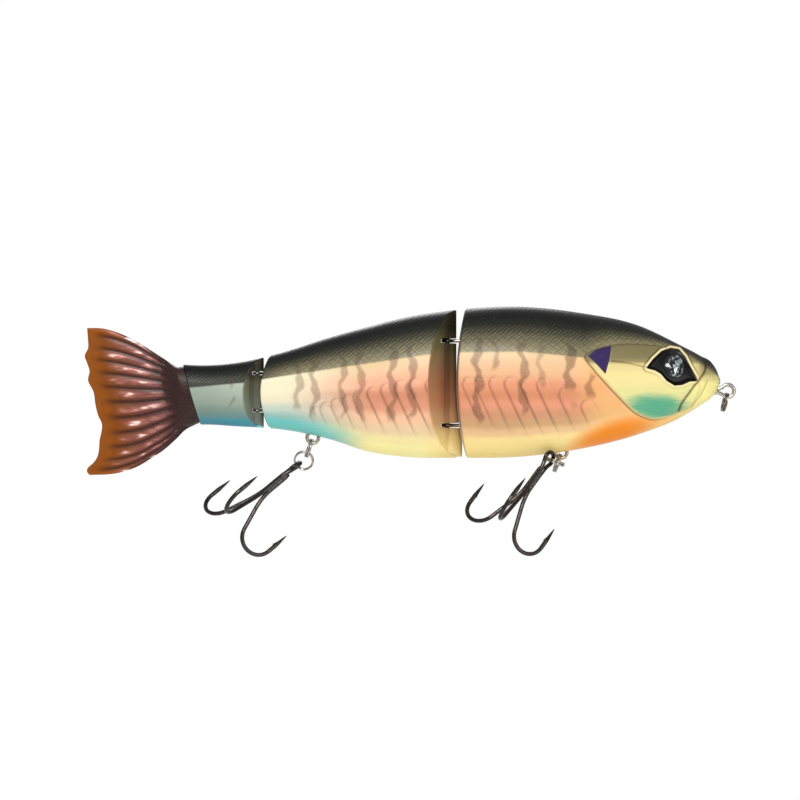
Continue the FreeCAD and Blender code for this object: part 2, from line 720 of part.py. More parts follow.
for made in doc.Objects:
    if {"Invalid", "Error"} & set(made.State):
        raise RuntimeError("%s failed: %s" % (made.Name, made.State))
os.makedirs("parts", exist_ok=True)
for label, made in parts.items():
    shape = made.Shape
    if shape.isNull() or not shape.isValid() or not shape.Solids:
        raise RuntimeError("%s has no valid solid" % label)
    print("%-24s solids %d  volume %9.2f mm3" % (label, len(shape.Solids), shape.Volume))
    shape.exportStep("parts/%s.step" % label)
for name, (point, line) in hinges.items():
    print(name, [round(c, 5) for c in point], [round(c, 6) for c in line])
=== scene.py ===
import math

import bmesh
import bpy
import numpy as np
from mathutils import Matrix, Vector


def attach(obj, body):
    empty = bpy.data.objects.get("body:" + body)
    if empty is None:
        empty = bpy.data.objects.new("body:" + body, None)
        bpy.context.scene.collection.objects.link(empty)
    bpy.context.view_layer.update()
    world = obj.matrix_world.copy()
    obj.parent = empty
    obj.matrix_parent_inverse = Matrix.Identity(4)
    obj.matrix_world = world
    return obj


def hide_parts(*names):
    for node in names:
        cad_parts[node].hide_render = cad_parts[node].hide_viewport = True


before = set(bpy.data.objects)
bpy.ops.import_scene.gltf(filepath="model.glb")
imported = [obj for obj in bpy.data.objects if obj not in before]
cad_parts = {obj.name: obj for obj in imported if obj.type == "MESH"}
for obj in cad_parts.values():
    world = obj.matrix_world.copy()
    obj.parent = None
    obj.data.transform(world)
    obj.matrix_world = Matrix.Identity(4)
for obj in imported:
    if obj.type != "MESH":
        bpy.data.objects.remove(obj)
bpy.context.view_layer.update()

# Lengths are millimetres in this script and become metres when a mesh is made.
MM = 0.001
# The camera looks along +Y, level with this centre and this far from it.
EYE_DISTANCE = 888.0
CENTRE_X, CENTRE_Z = -97.0, -2.7

# Hull outline: distance along X, top, bottom and half width.
HULL = np.array([
    (-163.0, 7.9, -10.6, 4.4), (-155.0, 7.6, -10.0, 5.0), (-145.6, 8.3, -10.5, 5.8),
    (-131.4, 11.5, -11.5, 7.4), (-117.2, 16.0, -14.5, 9.4), (-106.6, 18.9, -17.9, 11.0),
    (-95.9, 21.6, -19.5, 12.4), (-79.9, 24.0, -19.8, 13.7), (-61.6, 24.9, -19.5, 14.0),
    (-43.8, 23.1, -17.2, 13.2), (-26.0, 19.2, -12.7, 10.9), (-14.2, 13.6, -8.0, 7.9),
    (-8.3, 10.5, -4.4, 5.6), (-4.4, 7.9, -1.5, 3.4), (-3.2, 5.9, 0.1, 2.2), (-2.5, 3.9, 1.9, 0.9),
])

# ---- small maths


def smoothstep(low, high, value):
    t = np.clip((value - low) / (high - low), 0, 1)
    return t * t * (3 - 2 * t)


def hermite(x, xs, ys):
    """Smooth curve through the points (xs, ys), xs rising."""
    slopes = np.diff(ys) / np.diff(xs)
    gaps = np.diff(xs)
    tangents = np.empty_like(ys)
    tangents[1:-1] = (slopes[:-1] * gaps[1:] + slopes[1:] * gaps[:-1]) / (gaps[1:] + gaps[:-1])
    tangents[0], tangents[-1] = slopes[0], slopes[-1]
    i = np.clip(np.searchsorted(xs, x) - 1, 0, len(xs) - 2)
    t = (x - xs[i]) / gaps[i]
    t2, t3 = t * t, t * t * t
    return ((2 * t3 - 3 * t2 + 1) * ys[i] + (t3 - 2 * t2 + t) * gaps[i] * tangents[i]
            + (3 * t2 - 2 * t3) * ys[i + 1] + (t3 - t2) * gaps[i] * tangents[i + 1])


def hull_at(x):
    top, bottom, half = (hermite(x, HULL[:, 0], HULL[:, k]) for k in (1, 2, 3))
    return (top + bottom) / 2, (top - bottom) / 2, half


def spline(points, count, closed=False):
    """count evenly spaced points on a smooth curve through the given ones."""
    p = np.array(points, float)
    if closed:
        p = np.vstack([p[-1], p, p[:2]])
    else:
        p = np.vstack([2 * p[0] - p[1], p, 2 * p[-1] - p[-2]])
    out = []
    for a, b, c, d in zip(p[:-3], p[1:-2], p[2:-1], p[3:]):
        t = np.linspace(0, 1, 24, endpoint=False)[:, None]
        out.append(0.5 * (2 * b + (c - a) * t + (2 * a - 5 * b + 4 * c - d) * t**2
                          + (3 * b - a - 3 * c + d) * t**3))
    out.append(p[-2][None])
    line = np.vstack(out)
    run = np.concatenate([[0], np.cumsum(np.linalg.norm(np.diff(line, axis=0), axis=1))])
    even = np.linspace(0, run[-1], count)
    return np.stack([np.interp(even, run, line[:, k]) for k in range(line.shape[1])], 1)


def line_distance(x, z, line):
    """Distance from each (x, z) to an open line of points."""
    best = np.full(x.shape, 1e9)
    for a, b in zip(line[:-1], line[1:]):
        d = b - a
        t = np.clip(((x - a[0]) * d[0] + (z - a[1]) * d[1]) / max(d @ d, 1e-12), 0, 1)
        best = np.minimum(best, np.hypot(x - a[0] - t * d[0], z - a[1] - t * d[1]))
    return best


def signed_distance(x, z, outline):
    """Distance to a closed outline, negative inside it."""
    dist = line_distance(x, z, np.vstack([outline, outline[:1]]))
    inside = np.zeros(x.shape, bool)
    for a, b in zip(outline, np.roll(outline, -1, axis=0)):
        cross = (a[1] > z) != (b[1] > z)
        slope = (b[0] - a[0]) / (b[1] - a[1] if b[1] != a[1] else 1e-12)
        inside ^= cross & (x < a[0] + (z - a[1]) * slope)
    return np.where(inside, -dist, dist)


def ridge(distance, width):
    """1 on a line, falling smoothly to nothing beside it."""
    return np.exp(-(distance / width) ** 2)


# ---- mesh making


def new_piece(name, vertices, faces, body, slot, material, replaces=(), fields=None, sharp=None):
    mesh = bpy.data.meshes.new(name)
    mesh.from_pydata((np.asarray(vertices) * MM).tolist(), [], faces)
    for key, values in (fields or {}).items():
        attribute = mesh.attributes.new(key, "FLOAT", "POINT")
        attribute.data.foreach_set("value", np.asarray(values, np.float32))
    work = bmesh.new()
    work.from_mesh(mesh)
    bmesh.ops.recalc_face_normals(work, faces=work.faces)
    for face in work.faces:
        face.smooth = True
    if sharp:
        for edge in work.edges:
            if len(edge.link_faces) == 2 and edge.calc_face_angle(0) > math.radians(sharp):
                edge.smooth = False
    work.to_mesh(mesh)
    work.free()
    piece = bpy.data.objects.new(name, mesh)
    bpy.context.scene.collection.objects.link(piece)
    mesh.materials.append(material)
    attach(piece, body)
    if replaces:
        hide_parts(*replaces)


def grid(rows, columns, offset=0, wrap=False):
    """Faces of a grid of rows x columns vertices; wrap joins the last column to the first."""
    faces = []
    for i in range(rows - 1):
        for j in range(columns if wrap else columns - 1):
            k = (j + 1) % columns
            a, b = offset + i * columns, offset + (i + 1) * columns
            faces.append((a + j, a + k, b + k, b + j))
    return faces


def sweep(points, radius, sides):
    """Tube along points, closed at both ends; radius may vary. Returns vertices and faces."""
    p = np.asarray(points, float)
    n = len(p)
    r = np.broadcast_to(np.asarray(radius, float), (n,))
    tangent = np.gradient(p, axis=0)
    tangent /= np.linalg.norm(tangent, axis=1)[:, None]
    side = np.cross(tangent[0], [0.31, 0.87, 0.39])
    if np.linalg.norm(side) < 0.2:
        side = np.cross(tangent[0], [1.0, 0, 0])
    angles = np.linspace(0, 2 * math.pi, sides, endpoint=False)[:, None]
    rings = []
    for centre, wide, t in zip(p, r, tangent):
        side = side - t * (side @ t)
        side /= np.linalg.norm(side)
        rings.append(centre + wide * (np.cos(angles) * side + np.sin(angles) * np.cross(t, side)))
    ends = [tuple(range(sides)), tuple((n - 1) * sides + j for j in range(sides))]
    return np.vstack(rings), grid(n, sides, wrap=True) + ends


def joined(*meshes):
    vertices, faces, start = [], [], 0
    for v, f in meshes:
        vertices.append(v)
        faces += [tuple(i + start for i in face) for face in f]
        start += len(v)
    return np.vstack(vertices), faces


def moved(matrix, mesh):
    """A mesh (vertices, faces) put through a matrix."""
    m = np.array(matrix)
    return mesh[0] @ m[:3, :3].T + m[:3, 3], mesh[1]


# ---- material building


def srgb(r, g, b):
    channel = [c / 255 for c in (r, g, b)]
    return tuple(c / 12.92 if c <= 0.04045 else ((c + 0.055) / 1.055) ** 2.4 for c in channel) + (1.0,)


class Paint:
    """A node material written as short expressions. Sockets and numbers mix freely."""

    def __init__(self, name, **settings):
        self.material = bpy.data.materials.new(name)
        self.material.use_nodes = True
        self.tree = self.material.node_tree
        self.shader = next(n for n in self.tree.nodes if n.type == "BSDF_PRINCIPLED")
        for key, value in settings.items():
            self.shader.inputs[key.replace("_", " ")].default_value = value

    def node(self, kind, **settings):
        made = self.tree.nodes.new(kind)
        for key, value in settings.items():
            setattr(made, key, value)
        return made

    def feed(self, socket, value):
        if isinstance(value, bpy.types.NodeSocket):
            self.tree.links.new(value, socket)
        else:
            socket.default_value = value

    def math(self, operation, a, b=0.0, c=0.0):
        made = self.node("ShaderNodeMath", operation=operation)
        for socket, value in zip(made.inputs, (a, b, c)):
            self.feed(socket, value)
        return made.outputs[0]

    def add(self, a, b):
        return self.math("ADD", a, b)

    def sub(self, a, b):
        return self.math("SUBTRACT", a, b)

    def mul(self, product, *factors):
        for factor in factors:
            product = self.math("MULTIPLY", product, factor)
        return product

    def sway(self, value, amount):
        """A noise's departure from its mean, times amount."""
        return self.mul(self.sub(value, 0.5), amount)

    def absolute(self, a):
        return self.math("ABSOLUTE", a)

    def scaled(self, a, factor, offset):
        return self.math("MULTIPLY_ADD", a, factor, offset)

    def sin(self, a):
        return self.math("SINE", a)

    def peak(self, a, b):
        return self.math("MAXIMUM", a, b)

    def step(self, value, low, high, out_low=0.0, out_high=1.0):
        made = self.node("ShaderNodeMapRange", interpolation_type="SMOOTHSTEP")
        for name, v in (("Value", value), ("From Min", low), ("From Max", high),
                        ("To Min", out_low), ("To Max", out_high)):
            self.feed(made.inputs[name], v)
        return made.outputs["Result"]

    def place(self):
        """Object coordinates in millimetres: x, y, z and the vector."""
        where = self.node("ShaderNodeTexCoord").outputs["Object"]
        scaled = self.node("ShaderNodeVectorMath", operation="SCALE")
        self.feed(scaled.inputs[0], where)
        scaled.inputs["Scale"].default_value = 1000.0
        split = self.node("ShaderNodeSeparateXYZ")
        self.feed(split.inputs[0], scaled.outputs[0])
        return (*split.outputs, scaled.outputs[0])

    def stretch(self, vector, x, y, z):
        made = self.node("ShaderNodeVectorMath", operation="MULTIPLY")
        self.feed(made.inputs[0], vector)
        made.inputs[1].default_value = (x, y, z)
        return made.outputs[0]

    def noise(self, vector, scale, detail=2.0, roughness=0.5):
        made = self.node("ShaderNodeTexNoise")
        self.feed(made.inputs["Vector"], vector)
        made.inputs["Scale"].default_value = scale
        made.inputs["Detail"].default_value = detail
        made.inputs["Roughness"].default_value = roughness
        return made.outputs["Fac"]

    def cells(self, vector, scale):
        made = self.node("ShaderNodeTexVoronoi")
        self.feed(made.inputs["Vector"], vector)
        made.inputs["Scale"].default_value = scale
        return made

    def field(self, name):
        return self.node("ShaderNodeAttribute", attribute_name=name).outputs["Fac"]

    def ramp(self, factor, stops):
        made = self.node("ShaderNodeValToRGB")
        made.color_ramp.interpolation = "EASE"
        points = made.color_ramp.elements
        while len(points) < len(stops):
            points.new(0.5)
        for point, (place, colour) in zip(points, stops):
            point.position = place
            point.color = srgb(*colour)
        self.feed(made.inputs[0], factor)
        return made.outputs["Color"]

    def mix(self, factor, a, b):
        """Colour a changing to b; a colour is a socket or 8-bit red, green and blue."""
        made = self.node("ShaderNodeMix", data_type="RGBA")
        self.feed(made.inputs["Factor"], factor)
        colours = [s for s in made.inputs if s.type == "RGBA"]
        for socket, value in zip(colours, (a, b)):
            self.feed(socket, srgb(*value) if isinstance(value, tuple) and len(value) == 3 else value)
        return next(s for s in made.outputs if s.type == "RGBA")

    def bump(self, height, distance, strength=1.0, after=None):
        made = self.node("ShaderNodeBump")
        made.inputs["Strength"].default_value = strength
        made.inputs["Distance"].default_value = distance * MM
        self.feed(made.inputs["Height"], height)
        if after is not None:
            self.feed(made.inputs["Normal"], after)
        return made.outputs[0]

    def set(self, **inputs):
        for key, value in inputs.items():
            self.feed(self.shader.inputs[key.replace("_", " ")], value)
        return self.material


# ---- surface fields

# Side-view outlines on the head, (x, z).
GILL = spline([(-42.2, 10.1), (-39.5, 12.0), (-34.6, 13.3), (-28.7, 13.7), (-23.4, 13.4), (-18.5, 12.6),
               (-12.0, 8.0), (-8.0, 2.0), (-10.5, -4.5), (-15.5, -7.2), (-20.7, -8.4), (-23.4, -8.2),
               (-27.1, -6.7), (-30.8, -3.3), (-36.5, 2.8), (-40.6, 7.6)], 120, True)
SOCKET = np.array([(-23.7, 6.9), (-21.9, 9.2), (-19.6, 11.3), (-17.0, 12.3), (-14.7, 11.9), (-12.9, 9.9),
                   (-11.2, 6.6), (-9.3, 3.2), (-11.4, 3.1), (-13.6, 2.1), (-15.7, 1.9), (-17.9, 3.2),
                   (-19.6, 5.2), (-21.4, 6.3)])
PATCH = np.array([(-41.4, 10.3), (-39.4, 11.9), (-37.0, 12.8), (-34.5, 13.2), (-35.0, 9.4), (-36.2, 4.9),
                  (-38.6, 7.6)])
BROW = spline([(-34.4, 8.9), (-29.0, 8.1), (-24.2, 7.0)], 20)
MOUTH = spline([(-5.9, 11.5), (-6.3, 8.9), (-6.8, 5.6), (-9.8, 1.3), (-13.3, -3.6), (-14.4, -6.2)], 60)
LIP = spline([(-5.9, 3.0), (-7.6, -0.6), (-10.8, -4.8)], 30)

# Boundary between the dark back and the flank, x and z.
BACK_EDGE = np.array([
    (-163.0, 0.6), (-159.8, 1.2), (-143.3, 2.7), (-138.2, 3.6), (-114.0, 7.4), (-89.0, 11.2),
    (-79.9, 11.9), (-61.0, 12.1), (-53.3, 11.4), (-42.2, 10.2), (-39.5, 12.0), (-34.6, 13.5),
    (-23.4, 13.6), (-17.0, 13.0), (-11.0, 9.6), (-7.0, 6.5), (-2.0, 3.5),
])

# Ribs of the flank: x and z where each one's leading groove ends below, z of its rounded top.
RIB_SLOPE = np.array([0.42, -0.907])
HEAD_RIBS = [(-78.4, -6.5, 1.6), (-73.6, -9.5, 1.9), (-68.9, -11.6, 2.0), (-64.2, -12.8, 2.0),
             (-59.5, -13.2, 1.9), (-54.8, -13.0, 1.9), (-50.1, -13.0, 1.6), (-45.4, -11.8, -1.2),
             (-40.8, -11.2, -4.8)]
MID_RIBS = [(-122.4, -10.2, -6.9), (-118.6, -10.8, -5.5), (-114.4, -11.6, -4.2), (-110.4, -12.0, -3.2),
            (-106.4, -12.5, -2.0), (-101.5, -13.0, -0.9), (-97.0, -13.4, 0.0), (-92.4, -13.6, 0.9),
            (-87.6, -13.6, 1.5), (-82.9, -13.6, 1.5)]
RIB_RADIUS, RIB_RUN_OUT = 2.35, 2.5

# Wavy bars: x, half width, upper and lower z, strength.
HEAD_BARS = [(-74.0, 0.85, 16.0, -9.5, 1.0), (-68.9, 0.55, 15.5, 6.2, 0.8), (-60.6, 0.85, 15.0, -7.0, 0.9),
             (-55.3, 0.6, 14.0, 0.8, 0.6), (-46.8, 1.0, 14.5, 0.2, 1.0), (-40.4, 0.8, 5.6, -2.2, 0.9),
             (-45.2, 0.7, -2.6, -5.2, 0.5)]
MID_BARS = [(-127.2, 0.75, 8.0, -5.5, 0.75), (-122.4, 0.75, 9.0, -7.5, 0.8), (-114.0, 0.65, 11.0, -8.0, 0.8),
            (-108.8, 0.75, 12.0, -9.0, 0.8), (-99.2, 0.8, 13.0, -9.0, 0.9), (-93.6, 0.8, 14.0, -8.0, 0.9)]
TAIL_BARS = [(-147.6, 0.30, 4.6, 0.9, 0.9), (-146.9, 0.42, -1.6, -4.6, 1.0)]
# How dark the painted shade in a rib's groove is, and the distance given where a section has no such outline.
RIB_GROOVE_SHADE, FAR_OFF = 0.62, 9.0


def ribs(x, z, which):
    """Height of the rib pattern and how deep in a groove each point is."""
    across = np.array([-RIB_SLOPE[1], RIB_SLOPE[0]])
    height, groove = np.zeros(x.shape), np.zeros(x.shape)
    for x_low, z_low, z_top in which:
        low = np.array([x_low, z_low]) + across * RIB_RADIUS
        length = (z_top - low[1]) / -RIB_SLOPE[1]
        high = low - RIB_SLOPE * length
        dx, dz = x - high[0], z - high[1]
        run = np.clip(dx * RIB_SLOPE[0] + dz * RIB_SLOPE[1], 0, length + RIB_RUN_OUT)
        ox, oz = dx - run * RIB_SLOPE[0], dz - run * RIB_SLOPE[1]
        reach = np.hypot(ox, oz)
        side = (ox * across[0] + oz * across[1]) / RIB_RADIUS
        edge = reach - RIB_RADIUS
        fade = smoothstep(z_low - 1.2, z_low + 6.0, z)
        lead = smoothstep(0.75, -0.35, side) * smoothstep(-3.2, -1.6, -reach)
        height += np.clip(-side, -1, 1) * 0.3 * smoothstep(0.2, -0.5, edge) * fade
        groove = np.maximum(groove, ridge(edge, 0.38) * lead * fade)
    return height - 0.3 * groove, groove


def bars(x, z, which):
    """Strength of the wavy bars at each point."""
    total = np.zeros(x.shape)
    for i, (place, half, top, low, strength) in enumerate(which):
        wave = 0.7 * np.sin(z * 0.55 + i * 2.1) + 0.28 * np.sin(z * 1.3 + i * 4.3)
        wide = half * (1.25 + 0.4 * np.sin(z * 0.75 + i * 1.7) + 0.12 * np.sin(z * 2.3 + i))
        cover = smoothstep(wide + 0.42, wide - 0.42, np.abs(x - place - wave))
        cover = cover * smoothstep(top + 1.0, top - 2.0, z) * smoothstep(low - 1.0, low + 1.5, z)
        total = np.maximum(total, cover * strength)
    return total


def skin_relief(section, points):
    """Relief of the skin and the fields that its paint reads."""
    x, y, z = points[..., 0], points[..., 1], points[..., 2]
    # The side-view outlines are laid on the skin as the camera sees them.
    scale = EYE_DISTANCE / (EYE_DISTANCE - np.abs(y))
    u, v = CENTRE_X + (x - CENTRE_X) * scale, CENTRE_Z + (z - CENTRE_Z) * scale
    centre, high, _ = hull_at(x)
    edge = np.interp(u, BACK_EDGE[:, 0], BACK_EDGE[:, 1])
    below = (v - edge) / (edge - (centre - high))
    above = (v - edge) / (centre + high - edge)
    fields = {"level": np.where(v < edge, below, above)}
    fields.update({key: np.zeros(x.shape) for key in ("bars", "groove")})
    fields.update({key: np.full(x.shape, FAR_OFF) for key in ("gill", "socket", "patch")})
    relief = np.zeros(x.shape)
    facing = smoothstep(0.5, 2.5, np.abs(y))
    if section == "head":
        rib_height, rib_groove = ribs(u, v, HEAD_RIBS)
        gill, socket, patch = (signed_distance(u, v, line) for line in (GILL, SOCKET, PATCH))
        mouth, lip, brow = (line_distance(u, v, line) for line in (MOUTH, LIP, BROW))
        outside = smoothstep(0.0, 1.5, gill)
        fields["bars"] = bars(u, v, HEAD_BARS) * outside
        rear = smoothstep(-15.5, -22.0, u)
        relief += rib_height * outside
        # The gill cover stands proud, with a rolled rim and a groove behind it.
        plate = smoothstep(0.15, -0.35, gill) * 0.34 * smoothstep(-9.0, -0.5, gill)
        relief += rear * (plate - 0.2 * ridge(gill - 0.35, 0.3))
        relief += rear * 0.12 * ridge(gill + 0.75, 0.4)
        relief -= 0.2 * ridge(brow, 0.28)
        relief += 0.1 * ridge(brow - 0.6, 0.4) * (v > np.interp(u, BROW[:, 0], BROW[:, 1]))
        relief -= 0.1 * ridge(patch + 0.1, 0.25) * (v < 12.0)
        # The eye socket is sunk, with a raised rim and a line round that.
        relief -= 0.95 * smoothstep(0.25, -0.75, socket)
        relief += 0.34 * ridge(socket - 0.65, 0.42)
        relief -= 0.10 * ridge(socket - 1.6, 0.35)
        relief -= 0.55 * ridge(mouth, 0.34)
        relief += 0.16 * smoothstep(0.4, 1.2, mouth) * smoothstep(4.0, 1.2, mouth) * (u < -8)
        relief -= 0.16 * ridge(lip, 0.28)
        # Painted shade along the mouth, lip, gill edge, brow and the line round the socket.
        dark = np.maximum.reduce([
            ridge(mouth, 0.3), 0.55 * ridge(lip, 0.2), 0.85 * ridge(gill - 0.15, 0.22) * rear,
            0.7 * ridge(brow, 0.18), 0.85 * ridge(socket - 1.3, 0.2) * smoothstep(3.0, 8.0, v)])
        fields["groove"] = np.maximum(dark, RIB_GROOVE_SHADE * rib_groove * outside)
        fields.update(gill=gill, socket=socket, patch=patch)
    elif section == "tail":
        fields["bars"] = bars(u, v, TAIL_BARS)
    else:
        rib_height, rib_groove = ribs(u, v, MID_RIBS)
        fields["bars"] = bars(u, v, MID_BARS)
        fields["groove"] = RIB_GROOVE_SHADE * rib_groove
        relief += rib_height
    relief *= facing
    # A fine line marks the seam between the halves, and painted shade darkens it.
    relief -= 0.11 * ridge(y, 0.16)
    fields["groove"] = np.maximum(fields["groove"] * facing, 0.35 * ridge(y, 0.12))
    return relief, fields


# ---- hull sections

# Each joint's hinge line, bead radius, distance and angle of the chamfers, heights of the hinge
# slots, and the span, depth and width of the recess beside the bead. The front bead swells low
# down, as far as swell allows. half and reach are a slot's half height and depth.
JOINTS = {
    "front": {"x": -83.0, "bead": 2.7, "offset": 2.7, "angle": 35.0, "slots": (14.8, -10.2),
              "recess": (16.2, -9.0), "deep": 0.5, "wide": 5.6, "swell": 1.7, "half": 0.60, "reach": 1.95},
    "rear": {"x": -139.2, "bead": 1.9, "offset": 0.8, "angle": 40.0, "slots": (5.2, -5.8),
             "recess": (4.2, -4.6), "deep": 0.4, "wide": 3.4, "swell": 0.0, "half": 0.49, "reach": 1.58},
}
# Clearance kept between the swollen bead and the head, and the height that it starts below.
SWELL_GAP, SWELL_TOP = 0.22, 2.0
REAR_GROOVE = 2.2
TAIL_REAR_X, TAIL_REAR_SLOPE = -158.9, math.tan(math.radians(16.0))
NOSE_X = -2.5


def wedge_plain(joint, y):
    """x of a section's V-shaped front with its round bead, without recess, swell or slots."""
    j, y = JOINTS[joint], np.abs(y)
    a = math.radians(j["angle"])
    chamfer = j["x"] + (j["offset"] - y * math.sin(a)) / math.cos(a)
    flat = np.minimum(chamfer, j["x"] + j["offset"] * math.cos(a))
    bead = j["x"] + np.sqrt(np.maximum(j["bead"] ** 2 - y * y, 0))
    return np.where(y < j["bead"], np.maximum(flat, bead), flat)


def wedge(joint, y, z):
    """x of a section's V-shaped front with its round bead and its hinge slots."""
    j, y = JOINTS[joint], np.abs(y)
    high, low = j["recess"]
    tall = smoothstep(low - 2.5, low + 2.5, z) * smoothstep(high + 2.5, high - 2.5, z)
    band = smoothstep(j["wide"] + 0.5, j["wide"] - 0.5, y)
    band = band * smoothstep(j["bead"] * 0.8, j["bead"] * 1.15, y)
    front = wedge_plain(joint, y) - j["deep"] * tall * band
    swell = np.full(np.shape(z), j["bead"])
    if j["swell"]:
        room = np.clip(head_rear(y, z) - j["x"] - SWELL_GAP, j["bead"], j["bead"] + j["swell"])
        swell = np.where(z < SWELL_TOP, room, swell)
    bead = j["x"] + np.sqrt(np.maximum(swell ** 2 - y * y, 0))
    front = np.where(y < swell, np.maximum(front, bead), front)
    for slot in j["slots"]:
        front = np.where(np.abs(z - slot) < j["half"], np.minimum(front, j["x"] - j["reach"]), front)
    return front


def head_rear(y, z):
    return 14.9 - np.sqrt(95.0 ** 2 - (z - 3.0) ** 2)


def mid_rear(y, z):
    groove = JOINTS["rear"]["x"] + np.sqrt(np.maximum(REAR_GROOVE ** 2 - y * y, 0))
    face = -114.1 - np.sqrt(24.0 ** 2 - (z + 0.4) ** 2)
    return np.where(np.abs(y) < REAR_GROOVE, np.maximum(groove, face), face)


def tail_rear(y, z):
    return TAIL_REAR_X - z * TAIL_REAR_SLOPE


def nose_front(y, z):
    return np.full(np.shape(z), NOSE_X)


# Front face, the same without its slots, rear face, and how far the two rims are rounded.
SECTIONS = {
    "head": (nose_front, nose_front, head_rear, 0.0, 0.45),
    "mid": (lambda y, z: wedge("front", y, z), lambda y, z: wedge_plain("front", y), mid_rear, 0.3, 0.4),
    "tail": (lambda y, z: wedge("rear", y, z), lambda y, z: wedge_plain("rear", y), tail_rear, 0.25, 0.25),
}
ROWS = 216
# Half the gap between the left and right halves.
SEAM = 0.012


def lengthwise(section):
    """Shares of a section's length where its columns of vertices stand."""
    if section == "head":
        return np.concatenate([np.linspace(0, 0.03, 16), np.linspace(0.03, 0.52, 150)[1:],
                               np.linspace(0.52, 1, 110)[1:]])
    even = np.linspace(0, 1, 170 if section == "mid" else 70)
    return even - 0.012 * np.sin(2 * math.pi * even)


def shell(section, side, material):
    """One half of a hull section: skin, end faces and the seam face in the middle plane."""
    front, slotless, rear, front_round, rear_round = SECTIONS[section]
    theta = np.radians(np.linspace(-90, 90, ROWS))
    nominal = lengthwise(section)
    columns = len(nominal)

    # Both ends of each lengthwise line meet the end faces exactly.
    def end(face):
        x = np.full(ROWS, float(face(np.zeros(1), np.zeros(1))[0]))
        for _ in range(12):
            centre, high, half = hull_at(x)
            x = 0.5 * x + 0.5 * face(half * np.cos(theta), centre + high * np.sin(theta))
        return x

    x_front, x_rear = end(slotless), end(rear)
    x = x_front[None, :] + (x_rear - x_front)[None, :] * nominal[:, None]
    centre, high, half = hull_at(x)
    points = np.stack([x, half * np.cos(theta), centre + high * np.sin(theta)], -1)

    normal = np.cross(np.gradient(points, axis=1), np.gradient(points, axis=0))
    normal /= np.linalg.norm(normal, axis=-1)[..., None] + 1e-12
    outward = np.stack([np.zeros_like(x), np.cos(theta) + 0 * x, np.sin(theta) + 0 * x], -1)
    flip = np.sign(np.sum(normal * outward, -1))
    normal *= np.where(flip == 0, 1, flip)[..., None]

    relief, fields = skin_relief(section, points)
    for radius, distance in ((front_round, np.abs(x - x_front)), (rear_round, np.abs(x - x_rear))):
        if radius:
            near = np.clip(radius - distance, 0, radius)
            relief = relief * smoothstep(0, radius * 2, distance)
            relief = relief - (radius - np.sqrt(radius ** 2 - near ** 2))
    points = points + normal * relief[..., None]
    points[..., 1] = np.maximum(points[..., 1], 0) + SEAM
    vertices = [points.reshape(-1, 3)]
    faces = grid(columns, ROWS)
    total = columns * ROWS
    values = {key: [value.reshape(-1)] for key, value in fields.items()}

    # End faces run from the skin's rim in to the middle plane.
    middle = []
    for row, face in ((0, front), (-1, rear)):
        ahead, nose = row == 0, row == 0 and section == "head"
        rim = points[row]
        count = 4 if nose else 56 if ahead else 40
        share = np.linspace(0, 1, count)[:, None]
        y = rim[:, 1][None, :] * (1 - share) + SEAM * share
        z = np.broadcast_to(rim[:, 2], y.shape)
        cap_x = face(y, z)
        plain = slotless(y, z) if ahead else cap_x
        cap_x = cap_x + (rim[:, 0] - plain[0]) * smoothstep(0.3, 0.0, rim[:, 1][None, :] - y)
        if nose:
            cap_x = rim[:, 0] + 0.25 * (1 - (1 - share) ** 2)
        cap_x[0] = np.minimum(cap_x[0], rim[:, 0]) if ahead and not nose else rim[:, 0]
        middle.append([total + (count - 1) * ROWS + j for j in range(ROWS)])
        faces += grid(count, ROWS, offset=total)
        vertices.append(np.stack([cap_x, y, z], -1).reshape(-1, 3))
        for key, value in fields.items():
            values[key].append(np.tile(value[row] * (key not in ("groove", "bars")), count))
        total += count * ROWS

    # Seam face, one polygon round the middle plane.
    top = [i * ROWS + ROWS - 1 for i in range(columns)]
    low = [i * ROWS for i in range(columns)]
    seam = top + middle[1][::-1] + low[::-1] + middle[0]
    rim_points = np.vstack(vertices)[seam]
    rim_points[:, 1] = SEAM
    vertices = np.vstack(vertices + [rim_points])
    faces.append(tuple(range(total, total + len(seam))))
    values = {key: np.concatenate(parts + [np.zeros(len(seam))]) for key, parts in values.items()}
    values["cap"] = np.zeros(len(vertices))
    values["cap"][columns * ROWS:] = 1
    if side < 0:
        vertices = vertices * np.array([1, -1, 1])
    hand = "left" if side > 0 else "right"
    new_piece("%s_skin_%s" % (section, hand), vertices, faces, section, "painted_" + section, material,
              ["%s_shell_%s" % (section, hand)], values, sharp=38)


# ---- materials


